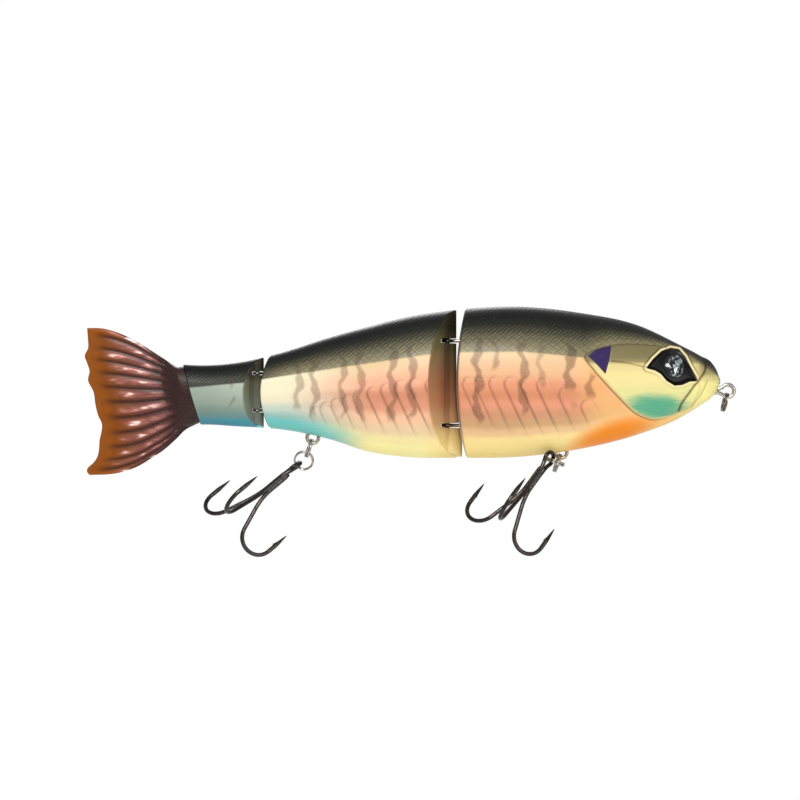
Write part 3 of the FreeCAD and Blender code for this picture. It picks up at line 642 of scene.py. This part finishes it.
def body_paint():
    p = Paint("airbrushed_shell", Coat_Weight=0.07, Coat_Roughness=0.1, Specular_IOR_Level=0.2)
    x, y, z, where = p.place()
    level = p.field("level")
    soft = p.noise(p.stretch(where, 0.10, 0.10, 0.22), 1.0, 3.0, 0.6)
    grain = p.noise(where, 2.6, 2.0, 0.6)
    shift = p.add(p.sway(soft, 0.07), p.sway(grain, 0.02))
    below = p.scaled(level, -1.0, shift)
    front = p.ramp(below, [
        (0.0, (226, 196, 150)), (0.05, (230, 196, 154)), (0.12, (229, 189, 147)), (0.20, (230, 182, 141)),
        (0.26, (229, 168, 130)), (0.33, (222, 150, 115)), (0.42, (208, 137, 101)), (0.51, (222, 149, 117)),
        (0.60, (204, 145, 110)), (0.69, (200, 157, 114)), (0.77, (230, 190, 140)), (0.84, (248, 221, 151)),
        (0.92, (251, 226, 148)), (1.0, (242, 214, 124))])
    between = p.ramp(below, [
        (0.0, (226, 196, 150)), (0.08, (232, 198, 156)), (0.25, (244, 178, 146)), (0.38, (206, 139, 110)),
        (0.50, (214, 148, 118)), (0.62, (236, 188, 152)), (0.74, (228, 200, 160)), (0.84, (242, 228, 164)),
        (0.92, (252, 242, 166)), (1.0, (250, 240, 164))])
    front = p.mix(p.step(x, -82.0, -92.0), front, between)
    rear = p.ramp(below, [
        (0.0, (216, 214, 178)), (0.05, (236, 230, 198)), (0.30, (238, 230, 198)), (0.44, (232, 222, 194)),
        (0.60, (196, 208, 194)), (0.76, (146, 190, 182)), (0.86, (92, 186, 200)), (1.0, (72, 176, 196))])
    tail = p.ramp(below, [
        (0.0, (112, 118, 104)), (0.05, (170, 183, 168)), (0.25, (162, 178, 161)), (0.45, (148, 165, 151)),
        (0.62, (126, 147, 136)), (0.76, (104, 142, 138)), (0.88, (66, 148, 164)), (1.0, (54, 138, 162))])
    tail = p.mix(p.step(x, -144.0, -157.0, 0.0, 0.30), tail, (96, 110, 106))
    bend = p.add(x, p.sway(soft, 10.0))
    flank = p.mix(p.step(bend, -104.0, -133.0), front, rear)
    belly = p.mul(p.step(below, 0.72, 0.92), p.step(bend, -106.0, -122.0))
    flank = p.mix(p.mul(belly, 0.9), flank, (118, 206, 198))
    flank = p.mix(p.step(x, -138.6, -139.6), flank, tail)

    # Face: pale yellow below, olive over the brow and snout, teal cheek, orange throat.
    gill, socket, patch = p.field("gill"), p.field("socket"), p.field("patch")
    face = p.ramp(p.scaled(z, 0.04, 0.5), [
        (0.0, (222, 190, 112)), (0.10, (238, 214, 132)), (0.22, (236, 216, 142)), (0.36, (232, 212, 146)),
        (0.5, (226, 214, 146)), (0.68, (232, 216, 150)), (0.80, (222, 205, 142)), (0.85, (146, 134, 92)),
        (0.90, (126, 117, 80)), (1.0, (120, 112, 76))])
    snout = p.ramp(p.scaled(z, 0.05, 0.4), [
        (0.0, (236, 214, 136)), (0.30, (246, 236, 156)), (0.50, (236, 226, 150)), (0.58, (206, 196, 132)),
        (0.68, (150, 142, 96)), (0.78, (86, 84, 60)), (0.9, (52, 52, 40))])
    face = p.mix(p.step(p.add(x, p.mul(z, -0.35)), -13.5, -8.5), face, snout)
    cover = p.step(gill, 0.2, -0.1)
    ahead = p.peak(cover, p.step(p.add(x, p.mul(z, 0.55)), -22.0, -14.5))
    flank = p.mix(p.step(p.add(x, p.mul(z, 0.2)), -50.0, -36.0, 0.0, 0.62), flank, (246, 190, 118))
    flank = p.mix(ahead, flank, face)
    throat_x = p.mul(p.add(x, 34.5), 0.068)
    throat_z = p.mul(p.add(p.add(z, 13.0), p.mul(p.add(x, 34.5), -0.30)), 0.2)
    throat = p.step(p.add(p.mul(throat_x, throat_x), p.mul(throat_z, throat_z)), 1.25, 0.0)
    throat = p.mul(throat, p.step(gill, -0.2, 0.5))
    flank = p.mix(throat, flank, (240, 138, 22))
    brush = p.noise(p.stretch(where, 0.25, 0.25, 2.2), 1.0, 3.0, 0.6)
    tinge = p.mul(p.step(z, 3.0, -2.5), p.step(gill, 0.3, -0.6))
    flank = p.mix(p.mul(tinge, 0.35), flank, (190, 218, 150))
    cheek_x = p.mul(p.add(x, 21.6), 0.092)
    cheek_z = p.mul(p.add(p.add(z, 4.9), p.mul(p.add(x, 21.6), 0.05)), 0.22)
    cheek = p.add(p.mul(cheek_x, cheek_x), p.mul(cheek_z, cheek_z))
    cheek = p.step(p.add(cheek, p.sway(brush, 0.9)), 1.2, 0.1)
    cheek = p.mul(cheek, p.step(gill, 0.0, -0.5))
    flank = p.mix(p.mul(cheek, 0.95), flank, (72, 164, 132))

    # Dark back with hatched scales; bars over it and the flank.
    back = p.ramp(level, [
        (0.0, (142, 133, 102)), (0.14, (122, 114, 85)), (0.30, (92, 88, 65)), (0.46, (58, 57, 44)),
        (0.62, (31, 33, 27)), (0.85, (12, 14, 12)), (1.0, (8, 9, 8))])
    tail_back = p.ramp(level, [
        (0.0, (50, 53, 43)), (0.2, (46, 49, 40)), (0.5, (27, 30, 25)), (0.85, (12, 14, 12)), (1.0, (8, 9, 8))])
    back = p.mix(p.step(x, -128.0, -142.0), back, tail_back)
    lean = p.mul(z, 1.25)
    rise, fall = (p.sin(p.mul(slant, 1.2)) for slant in (p.add(x, lean), p.sub(x, lean)))
    stroke = p.sin(p.add(p.mul(p.sub(z, p.mul(x, 0.78)), 5.6), p.mul(rise, fall, 0.9)))
    net = p.peak(*(p.step(p.absolute(wave), 0.34, 0.08) for wave in (rise, fall)))
    dashes = p.mul(p.step(stroke, 0.15, 0.95), p.step(grain, 0.30, 0.62))
    zone = p.mul(p.step(level, 0.72, 0.25), p.step(x, -141.0, -122.0, 0.12, 1.0))
    back = p.mix(p.mul(dashes, zone, 0.36), back, (172, 166, 136))
    back = p.mix(p.mul(net, zone, 0.34), back, (34, 34, 27))
    over = p.step(p.add(level, p.sway(grain, 0.012)), -0.028, -0.002)
    over = p.mul(over, p.sub(1.0, p.mul(cover, p.step(x, -44.0, -43.0))))
    over = p.mul(over, p.step(p.add(x, p.mul(z, 0.4)), -6.0, -11.0))
    bar = p.field("bars")
    mottled = p.mul(bar, p.step(grain, 0.2, 0.6, 0.62, 1.0))
    flank = p.mix(p.mul(mottled, 0.66), flank, (114, 80, 60))
    back = p.mix(p.mul(mottled, 0.55), back, (62, 44, 34))
    colour = p.mix(over, flank, back)
    colour = p.mix(p.mul(p.step(level, 0.02, 0.3), ahead, 0.94), colour, back)

    # Purple patch, eye socket and rims, a painted highlight inside the gill cover's rim, and scribed lines
    # darkened by painted shade.
    colour = p.mix(p.step(patch, 0.08, -0.08), colour, (48, 32, 86))
    rim = p.mul(p.step(socket, 1.08, 0.84), p.step(socket, 0.15, 0.35))
    colour = p.mix(rim, colour, (236, 222, 168))
    colour = p.mix(p.step(socket, 0.46, 0.28), colour, (6, 6, 7))
    # Painted highlight along the inside of the gill cover's rolled rim, low down.
    lit = p.mul(p.step(gill, -0.95, -0.55), p.step(gill, -0.1, -0.35), p.step(z, 6.0, 2.0))
    colour = p.mix(p.mul(lit, 0.55), colour, (226, 190, 130))
    # Painted shade in the grooves, creases and seam.
    colour = p.mix(p.mul(p.field("groove"), 0.9), colour, (70, 46, 26))

    # End faces: the same bands, duller and browner away from the skin, with painted shade near the middle
    # plane.
    cap = p.field("cap")
    height = p.scaled(z, 0.025, 0.5)
    inner = p.ramp(height, [
        (0.06, (230, 208, 142)), (0.14, (226, 200, 134)), (0.285, (194, 154, 110)), (0.43, (180, 126, 90)),
        (0.58, (164, 116, 82)), (0.73, (142, 114, 82)), (0.84, (106, 97, 66)), (0.99, (56, 53, 40))])
    inner_tail = p.ramp(height, [
        (0.22, (104, 118, 112)), (0.40, (120, 126, 110)), (0.55, (112, 114, 92)), (0.62, (74, 74, 58)),
        (0.72, (52, 54, 44))])
    inner = p.mix(p.step(x, -118.0, -120.0), inner, inner_tail)
    # Painted shade on the end faces near the middle plane, by the recess beside the hinge bead.
    middle = p.step(p.absolute(y), 3.4, 6.4, 0.42, 0.0)
    inner = p.mix(p.mul(middle, p.step(z, -8.0, 12.0, 0.25, 1.0)), inner, (34, 22, 14))
    colour = p.mix(cap, colour, inner)

    # Pearl specks and faint wear.
    speck = p.cells(where, 1.1).outputs["Distance"]
    glint = p.mul(p.step(speck, 0.16, 0.06), p.step(grain, 0.5, 0.7), 0.25)
    colour = p.mix(glint, colour, (255, 246, 226))
    roughness = p.step(p.add(soft, p.mul(grain, 0.3)), 0.4, 1.0, 0.32, 0.44)
    roughness = p.mix(cap, roughness, (160, 160, 160))
    normal = p.bump(grain, 0.02, 0.5)
    normal = p.bump(p.mul(stroke, p.step(level, 0.0, 0.05)), 0.03, 0.5, normal)
    return p.set(Base_Color=colour, Roughness=roughness, Normal=normal)


def wire_metal(name, colour, roughness, dark):
    """Metal with dark, duller patches of wear."""
    p = Paint(name, Metallic=1.0)
    where = p.place()[3]
    wear = p.noise(where, 1.4, 4.0, 0.65)
    fine = p.noise(where, 9.0, 2.0, 0.6)
    tint = p.mix(p.step(wear, 0.42, 0.68), colour, dark)
    rough = p.step(wear, 0.3, 0.8, roughness, roughness + 0.16)
    return p.set(Base_Color=tint, Roughness=rough, Normal=p.bump(fine, 0.002, 0.1))


def eye_gloss():
    p = Paint("eye_dome", Roughness=0.12, Coat_Weight=0.5, Coat_Roughness=0.02, Specular_IOR_Level=0.4)
    x, _, z, where = p.place()
    out_x, out_z = p.add(x, 16.0), p.sub(z, 7.3)
    reach = p.math("SQRT", p.add(p.mul(out_x, out_x, 0.62), p.mul(out_z, out_z, 0.32)))
    broken = p.noise(where, 0.95, 4.0, 0.75)
    shard = p.cells(p.stretch(where, 1.0, 1.0, 0.62), 1.7)
    flake = p.mul(p.step(shard.outputs["Color"], 0.52, 0.56), p.step(broken, 0.44, 0.50),
                  p.step(reach, 2.1, 1.3))
    ring = p.mul(p.step(reach, 1.75, 1.9), p.step(reach, 2.2, 2.0))
    colour = p.mix(p.mul(ring, 0.3), (5, 5, 6), (40, 44, 54))
    tint = p.ramp(broken, [(0.4, (120, 140, 150)), (0.55, (210, 222, 224)), (0.7, (150, 180, 176))])
    colour = p.mix(flake, colour, tint)
    return p.set(Base_Color=colour, Metallic=p.mul(flake, 0.6))


def fin_plastic():
    p = Paint("soft_fin", Specular_IOR_Level=0.16, Coat_Weight=0.08, Coat_Roughness=0.14)
    where = p.place()[3]
    reach, fold, edge = p.field("reach"), p.field("fold"), p.field("edge")
    cloud = p.noise(where, 0.16, 4.0, 0.6)
    fine = p.noise(where, 3.2, 3.0, 0.65)
    base = p.ramp(p.add(reach, p.sway(cloud, 0.12)), [
        (0.0, (50, 33, 32)), (0.18, (54, 34, 33)), (0.30, (66, 39, 38)), (0.42, (92, 53, 50)),
        (0.60, (104, 58, 46)), (0.74, (112, 60, 28)), (0.85, (128, 66, 12)), (0.94, (150, 80, 12)),
        (1.0, (164, 90, 18))])
    base = p.mix(p.mul(p.step(edge, 1.8, 0.3), p.step(reach, 0.5, 0.8, 0.0, 0.8)), base, (156, 84, 18))
    streak = p.noise(p.stretch(where, 0.14, 0.14, 0.5), 1.0, 2.0, 0.5)
    along = p.mul(p.step(reach, 0.22, 0.42), p.step(reach, 0.90, 0.72))
    shine = p.mul(p.step(fold, 0.45, 1.0), along, p.step(streak, 0.42, 0.60, 0.22, 1.0))
    base = p.mix(p.mul(shine, p.step(fine, 0.3, 0.7, 0.5, 0.85)), base, (222, 146, 134))
    # Painted shade in the valleys between the fin's ribs.
    valley_shade = p.mul(p.step(fold, 0.42, 0.0), p.step(reach, 0.16, 0.3, 0.0, 0.72),
                   p.step(reach, 0.78, 0.95, 1.0, 0.3))
    base = p.mix(valley_shade, base, (40, 20, 18))
    base = p.mix(p.mul(p.step(edge, 0.9, 0.2), p.step(reach, 0.85, 0.6, 0.0, 0.8)), base, (30, 20, 20))
    gleam = p.mul(p.step(fold, 0.80, 0.97), p.step(streak, 0.54, 0.62), p.step(reach, 0.34, 0.5),
                  p.step(reach, 0.95, 0.86), 0.95)
    base = p.mix(gleam, base, (255, 238, 230))
    flake = p.mul(p.step(p.cells(where, 2.2).outputs["Distance"], 0.2, 0.08), p.step(reach, 0.9, 0.7))
    base = p.mix(p.mul(flake, 0.25), base, (226, 170, 150))
    rough = p.step(fine, 0.3, 0.7, 0.26, 0.4)
    return p.set(Base_Color=base, Roughness=rough, Metallic=p.mul(p.add(shine, flake), 0.3),
                 Normal=p.bump(fine, 0.03, 0.5))


# ---- the fin


FOLDS = 11.0


def build_fin(material):
    """The soft fin: a sheet between four outlines, thickened on both sides and folded."""
    upper = spline([(-161.0, 7.2), (-163.3, 7.2), (-167.0, 9.6), (-171.0, 12.2), (-175.2, 14.8),
                    (-180.3, 17.2), (-185.2, 18.5), (-189.6, 18.6)], 150)
    lower = spline([(-156.2, -9.4), (-158.0, -10.2), (-160.6, -11.6), (-163.4, -14.4), (-166.8, -17.4),
                    (-170.8, -20.1), (-174.9, -22.5), (-179.2, -24.0), (-183.2, -24.7), (-188.9, -24.9)], 150)
    trail = spline([(-189.6, 18.6), (-189.4, 15.6), (-189.3, 12.8), (-190.3, 10.4), (-189.6, 8.2),
                    (-188.9, 5.8), (-189.3, 3.0), (-187.7, -0.4), (-187.2, -3.8), (-186.4, -7.1),
                    (-185.3, -9.6), (-185.3, -11.7), (-185.9, -14.5), (-186.1, -17.3), (-186.6, -19.5),
                    (-187.7, -21.2), (-189.4, -22.8), (-189.6, -24.0), (-188.9, -24.9)], 260)[::-1]
    rows, columns = 190, 260
    s = np.linspace(0, 1, rows)[:, None]
    t = np.linspace(0, 1, columns)[None, :]
    height = np.linspace(-9.4, 7.2, columns)
    root, back = np.stack([tail_rear(0, height) - 0.1, height], 1)[None], trail[None]
    low, top = (np.stack([np.interp(s[:, 0], np.linspace(0, 1, 150), line[:, k]) for k in (0, 1)], 1)[:, None]
                for line in (lower, upper))
    s3, t3 = s[..., None], t[..., None]
    plan = ((1 - s3) * root + s3 * back + (1 - t3) * low + t3 * top
            - (1 - s3) * (1 - t3) * root[:, :1] - (1 - s3) * t3 * root[:, -1:]
            - s3 * (1 - t3) * back[:, :1] - s3 * t3 * back[:, -1:])
    x, z = plan[..., 0], plan[..., 1]
    centre, high, half = hull_at(x)
    oval = half * np.sqrt(np.clip(1 - ((z - centre) / (high + 0.35)) ** 2, 0, 1))
    spread = t + 0.02 * np.sin(2.2 * math.pi * t)
    phase = spread * FOLDS
    fold = 0.5 + 0.5 * np.cos(2 * math.pi * phase)
    begins = smoothstep(0.17, 0.27, s + 0.03 * np.sin(phase * 1.7 + 1.0))
    ribbed = fold ** 0.8 * begins * smoothstep(1.02, 0.72, s)
    blade = 1.02 - 0.62 * smoothstep(0.35, 1.0, s)
    thick = oval + (blade - oval) * smoothstep(0.06, 0.30, s)
    thick = thick + 0.30 * (ribbed - 0.5 * begins)
    rim = np.minimum.reduce([np.hypot(x - line[..., 0], z - line[..., 1]) for line in (top, low, back)])
    round_off = np.sqrt(np.clip(1 - (1 - np.clip(rim / 1.1, 0, 1)) ** 2, 0, 1))
    thick = np.maximum(thick, 0.18) * (0.12 + 0.88 * round_off)
    both = [np.stack([x, hand * thick, z], -1).reshape(-1, 3) for hand in (-1, 1)]
    count = rows * columns
    faces = grid(rows, columns) + grid(rows, columns, offset=count)
    edge = (list(range(columns)) + [i * columns + columns - 1 for i in range(1, rows)]
            + [(rows - 1) * columns + j for j in range(columns - 2, -1, -1)]
            + [i * columns for i in range(rows - 2, 0, -1)])
    faces += [(a, b, b + count, a + count) for a, b in zip(edge, edge[1:] + edge[:1])]
    fields = {"reach": np.broadcast_to(s, x.shape), "fold": ribbed, "edge": rim}
    fields = {k: np.tile(np.asarray(v).reshape(-1), 2) for k, v in fields.items()}
    new_piece("tail_fin_ribbed", np.vstack(both), faces, "tail", "soft_fin", material,
              ["tail_fin"], fields, sharp=60)


# ---- rings and hooks

RING_WIRE, RING_COIL_OFFSET, HOOK_WIRE, LINK_GAP = 0.31, 0.31, 0.62, 0.12
# Two turns of wire lie beside each other in a split ring.
RING_THICK = RING_WIRE + RING_COIL_OFFSET
# Loop radius and wire radius of each link, from the hanger down.
WIRES = {"hanger": (1.7, 0.55), "ring_upper": (2.6, RING_WIRE), "ring_lower": (2.7, RING_WIRE),
         "treble": (2.0, HOOK_WIRE)}
LINE_TIE = (1.85, 0.62)
NOSE_RING_RADIUS, NOSE_RING_HANG = 2.6, -14.0
HANGERS = {"front": Vector((-49.3, 0, -18.2)), "rear": Vector((-122.8, 0, -13.8))}
# Resting angles in degrees. swing turns about the wire that a link hangs from, place is where
# on its own loop the next one hangs.
CHAINS = {
    "front": {"hang": -19.9, "swing": (-6.0, 37.5, 16.4), "place": (85.0, -1.3, 80.0), "single": -1},
    "rear": {"hang": -18.9, "swing": (-3.0, 12.0, 22.0), "place": (-20.0, -24.0, -12.0), "single": 1},
}
ACROSS = Vector((0, 1, 0))


def axes(x_axis, z_axis, centre):
    x_axis, z_axis = Vector(x_axis).normalized(), Vector(z_axis).normalized()
    made = Matrix((x_axis, z_axis.cross(x_axis), z_axis)).transposed().to_4x4()
    made.translation = centre
    return made


def hanging(degrees):
    """Direction straight down, swung back along the lure."""
    angle = math.radians(degrees)
    return Vector((math.sin(angle), 0, -math.cos(angle)))


def split_ring(body, radius, centre, normal, material, turn):
    """One wire wound twice, crossing over between its two turns."""
    angle = np.linspace(math.radians(3), math.radians(720 - 46), 400)
    lift = RING_COIL_OFFSET * (smoothstep(math.radians(360 - 42), math.radians(360), angle) * 2 - 1)
    line = np.stack([radius * np.cos(angle + turn), radius * np.sin(angle + turn), lift], 1)
    ends = np.minimum(angle - angle[0], angle[-1] - angle)
    thin = RING_WIRE * (0.55 + 0.45 * smoothstep(0, 0.06, ends))
    normal = Vector(normal).normalized()
    helper = Vector((0, 0, 1)) if abs(normal.z) < 0.9 else Vector((1, 0, 0))
    place = axes(helper.cross(normal), normal, centre)
    new_piece(body + "_coil", *moved(place, sweep(line, thin, 18)), body, "split_ring", material, [body],
              sharp=50)


def wire_loop(cad, radius, wire, centre, x_axis, body, material):
    """A wire bent to a loop, its two legs laid together along local -X."""
    lay, legs = wire * 0.98, 5.0
    open_angle = math.asin(min(0.98, lay / radius)) + 0.42
    angle = np.linspace(-math.pi + open_angle, math.pi - open_angle, 90)
    arc = np.stack([radius * np.cos(angle), radius * np.sin(angle)], 1)
    neck = np.array([(-radius - 0.9, lay), (-radius - legs * 0.5, lay), (-radius - legs, lay)])
    line = np.vstack([neck[::-1] * (1, -1), arc, neck])
    line = spline(np.hstack([line, np.zeros((len(line), 1))]), 220)
    place = axes(x_axis, ACROSS, centre)
    new_piece(cad + "_wire", *moved(place, sweep(line, wire * 0.97, 18)), body, "wire", material, [cad])


def hang_on(centre, normal, radius, thickness, place, swing, next_radius, next_wire):
    """The line that the next link turns about, the way that it hangs, and its centre."""
    swing = math.radians(swing)
    away = place * math.cos(swing) + normal * math.sin(swing)
    reach = next_radius - thickness - next_wire - LINK_GAP
    return normal.cross(place), away, centre + place * radius + away * reach


def hook_profile(top):
    """A hook's centre line from the shank's top to its tip, its radius, and the bend's end."""
    shank, end, flare, angle = 0.74, -10.2, 20.0, math.radians(21.0)
    bend, length, point, cone = 5.1, 7.0, 3.1, 4.2
    out = [(shank, z) for z in np.linspace(top, end, 24, endpoint=False)]
    a = np.linspace(0, angle, 14, endpoint=False)
    out += [(shank + flare * (1 - math.cos(t)), end - flare * math.sin(t)) for t in a]
    x, z = shank + flare * (1 - math.cos(angle)), end - flare * math.sin(angle)
    run = np.linspace(0, length, 16, endpoint=False)
    out += [(x + math.sin(angle) * t, z - math.cos(angle) * t) for t in run]
    x, z = x + math.sin(angle) * length, z - math.cos(angle) * length
    cx, cz = x + math.cos(angle) * bend, z + math.sin(angle) * bend
    a = np.linspace(math.pi + angle, 2 * math.pi, 48, endpoint=False)
    out += [(cx + bend * math.cos(t), cz + bend * math.sin(t)) for t in a]
    straight = np.linspace(0, point + cone, 30)
    out += [(cx + bend - 0.10 * smoothstep(2.2, 7.3, t), cz + t) for t in straight]
    line = np.array([(x, 0.0, z) for x, z in out])
    radius = np.full(len(line), HOOK_WIRE)
    taper = np.clip((straight - point * 0.9) / (point * 0.1 + cone), 0, 1)
    radius[-len(straight):] = HOOK_WIRE * (1 - taper) ** 0.72 + 0.035
    return line, radius, (cx + bend, cz)


def barb(tip_x, base_z):
    """The sliver raised on the inner side of the point, leaning back from the tip."""
    line = np.array([(tip_x - 0.04, 0.0, base_z + 4.5), (tip_x - 0.46, 0.0, base_z + 3.3),
                     (tip_x - 0.98, 0.0, base_z + 2.0)])
    return sweep(spline(line, 14), np.linspace(0.40, 0.05, 14), 10)


def build_treble(name, place, metal, solder):
    """A double hook bent from one wire, a single hook, and the braze between the shanks."""
    line, radius, bend_end = hook_profile(-3.3)
    turns = [Matrix.Rotation(math.radians(120 * k), 4, "Z") for k in (1, 2)]
    first, second = (line @ np.array(turn)[:3, :3].T for turn in turns)
    # Eye: the two shanks run up into one loop about local X.
    loop_angle = np.linspace(math.radians(-90 + 34), math.radians(270 - 34), 80)
    eye = WIRES["treble"][0]
    loop = np.stack([np.zeros(80), eye * np.cos(loop_angle), eye * np.sin(loop_angle)], 1)
    smooth = np.vstack([first[::-1], loop, second])
    radii = np.concatenate([radius[::-1], np.full(80, HOOK_WIRE), radius])
    for _ in range(30):
        for corner in (len(line), len(line) + 80):
            part = slice(corner - 8, corner + 8)
            smooth[part] = (np.roll(smooth, 1, 0)[part] + smooth[part] + np.roll(smooth, -1, 0)[part]) / 3
    double = joined(sweep(smooth, radii, 20), *(moved(turn, barb(*bend_end)) for turn in turns))
    line, radius, bend_end = hook_profile(-2.95)
    radius[:5] *= np.linspace(0.55, 1, 5)
    single = joined(sweep(line, radius, 20), barb(*bend_end))
    for word, mesh in (("double", double), ("single", single)):
        new_piece("%s_%s_hook" % (name, word), *moved(place, mesh), name, "hook", metal,
                  ["%s_%s" % (name, word)])
    # Braze that fills the valley between the three shanks.
    z = np.linspace(-3.0, -12.6, 60)
    wobble = 1 + 0.06 * np.sin(z * 2.7) + 0.04 * np.sin(z * 5.3 + 1)
    fill = np.stack([0 * z, 0 * z, z], 1)
    shape = 0.82 * wobble * smoothstep(-2.9, -3.8, z) * smoothstep(-12.7, -10.6, z) + 0.02
    new_piece(name + "_braze", *moved(place, sweep(fill, shape, 24)), name, "hook", solder)


def build_chain(place, parent, metals):
    chain = CHAINS[place]
    centre, normal, out = HANGERS[place].copy(), ACROSS, hanging(chain["hang"])
    radius, thickness = WIRES["hanger"]
    wire_loop(place + "_hanger", radius, thickness, centre, (0, 0, -1), parent, metals["hanger_" + place])
    for i, suffix in enumerate(("ring_upper", "ring_lower", "treble")):
        own, wire = WIRES[suffix]
        line, away, centre = hang_on(centre, normal, radius, thickness, out, chain["swing"][i], own, wire)
        normal, radius, thickness = line, own, RING_THICK
        angle = math.radians(chain["place"][i])
        out = away * math.cos(angle) + normal.cross(away) * math.sin(angle)
        if suffix != "treble":
            split_ring("%s_%s" % (place, suffix), own, centre, normal, metals["ring"], 1.1 + i * 2.2)
    build_treble(place + "_treble", axes(normal * chain["single"], out * -1, centre), metals["hook"],
                 metals["solder"])


# ---- eyes


EYE_RADIUS, EYE_CURVE, EYE_PROUD = 3.5, 6.0, 0.75


def build_eye(side, node, material):
    """A domed eye with its short skirt."""
    outward = Vector((0.32, side, 0.30)).normalized()
    place = axes(Vector((0, 0, 1)).cross(outward), outward, Vector((-16.3, side * 7.4, 7.4)))
    rings, sides = 34, 72
    domed = [(EYE_RADIUS * i / (rings - 1), 0.0) for i in range(rings)]
    a = np.linspace(0, 2 * math.pi, sides, endpoint=False)
    rows = []
    for i, (r, drop) in enumerate(domed + [(3.5, 0.08), (3.46, 0.3), (3.4, 1.6)]):
        curve_r = r if i < rings else EYE_RADIUS
        h = EYE_PROUD - EYE_CURVE + math.sqrt(EYE_CURVE ** 2 - curve_r * curve_r) - drop * 0.5
        rows.append(np.stack([r * np.cos(a), r * np.sin(a), np.full(sides, h)], 1))
    last = (len(rows) - 1) * sides
    faces = grid(len(rows), sides, wrap=True) + [tuple(last + j for j in range(sides))]
    new_piece(node + "_dome", *moved(place, (np.vstack(rows), faces)), "head", "eye", material, [node])


# ---- assemble

paint = body_paint()
for section in ("head", "mid", "tail"):
    for side in (1, -1):
        shell(section, side, paint)
build_fin(fin_plastic())
eye_material = eye_gloss()
build_eye(1, "eye_left", eye_material)
build_eye(-1, "eye_right", eye_material)

bright = wire_metal("bright_wire", (214, 210, 202), 0.16, (150, 144, 132))
metals = {key: wire_metal(*settings) for key, settings in {
    "ring": ("ring_nickel", (186, 182, 174), 0.18, (108, 102, 92)),
    "ring_dark": ("ring_dark_nickel", (132, 124, 116), 0.17, (84, 76, 68)),
    "hook": ("black_nickel", (74, 70, 68), 0.13, (52, 47, 44)),
    "solder": ("braze", (128, 125, 120), 0.34, (92, 88, 84)),
    "hanger_front": ("hanger_front_wire", (196, 176, 150), 0.3, (150, 120, 92)),
    "hanger_rear": ("hanger_rear_wire", (186, 176, 158), 0.3, (140, 124, 104)),
}.items()}
wire_loop("line_tie", *LINE_TIE, Vector((0, 0, 0)), (1, 0, 0), "head", bright)
down = hanging(NOSE_RING_HANG)
reach = LINE_TIE[0] + NOSE_RING_RADIUS - LINE_TIE[1] - RING_WIRE - LINK_GAP
split_ring("nose_ring", NOSE_RING_RADIUS, down * reach, ACROSS.cross(down), metals["ring_dark"], 0.6)
build_chain("front", "head", metals)
build_chain("rear", "mid", metals)

# CAD nodes that stay visible: hinge eyes, pins and weights.
hidden = wire_metal("drawn_wire", (190, 186, 178), 0.24, (120, 112, 100))
lead = wire_metal("cast_ballast", (110, 110, 116), 0.55, (76, 76, 80))
for node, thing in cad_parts.items():
    if not thing.hide_render:
        thing.data.materials.clear()
        thing.data.materials.append(lead if "weight" in node else hidden)

# ---- floor, light and camera


# Lengths here are metres.
def stage_floor():
    p = Paint("pale_floor", Roughness=0.85, Emission_Color=(1.0, 1.0, 1.0, 1.0), Emission_Strength=0.12)
    cloud = p.noise(p.place()[3], 0.01, 3.0, 0.5)
    p.set(Base_Color=p.mix(p.mul(cloud, 0.3), (250, 249, 247), (243, 241, 238)))
    bpy.ops.mesh.primitive_plane_add(size=1.8, location=(-0.097, 0.0, -0.25))
    floor = bpy.context.object
    floor.name = "floor"
    floor.data.materials.append(p.material)


def area_light(name, place, target, size, watts, colour=(1, 1, 1)):
    data = bpy.data.lights.new(name, "AREA")
    data.shape, data.size, data.energy, data.color = "DISK", size, watts, colour
    lamp = bpy.data.objects.new(name, data)
    lamp.location = place
    lamp.rotation_euler = (Vector(target) - Vector(place)).to_track_quat("-Z", "Y").to_euler()
    bpy.context.scene.collection.objects.link(lamp)


stage_floor()
area_light("key", (-0.16, -0.75, 0.46), (-0.095, 0, 0), 0.34, 4.1, (1.0, 0.985, 0.96))
area_light("fill", (0.45, -0.55, 0.02), (-0.06, 0, 0), 0.4, 1.1, (1.0, 0.97, 0.93))
area_light("back", (-0.15, 0.75, 0.5), (-0.1, 0, 0), 0.4, 1.3)

world = bpy.data.worlds.new("studio")
bpy.context.scene.world = world
world.use_nodes = True
nodes, links = world.node_tree.nodes, world.node_tree.links
sky = next(n for n in nodes if n.type == "BACKGROUND")
sky.inputs["Color"].default_value = (1, 1, 1, 1)
seen = nodes.new("ShaderNodeLightPath")
strength = nodes.new("ShaderNodeMapRange")
links.new(seen.outputs["Is Camera Ray"], strength.inputs["Value"])
strength.inputs["To Min"].default_value, strength.inputs["To Max"].default_value = 0.46, 1.0
links.new(strength.outputs["Result"], sky.inputs["Strength"])

camera_data = bpy.data.cameras.new("camera")
camera_data.lens = 135.0
camera_data.sensor_width = 36.0
camera = bpy.data.objects.new("camera", camera_data)
camera.location = (CENTRE_X * MM, -EYE_DISTANCE * MM, CENTRE_Z * MM)
camera.rotation_euler = (math.radians(90), 0, 0)
bpy.context.scene.collection.objects.link(camera)
bpy.context.scene.camera = camera
bpy.context.scene.view_settings.view_transform = "Standard"
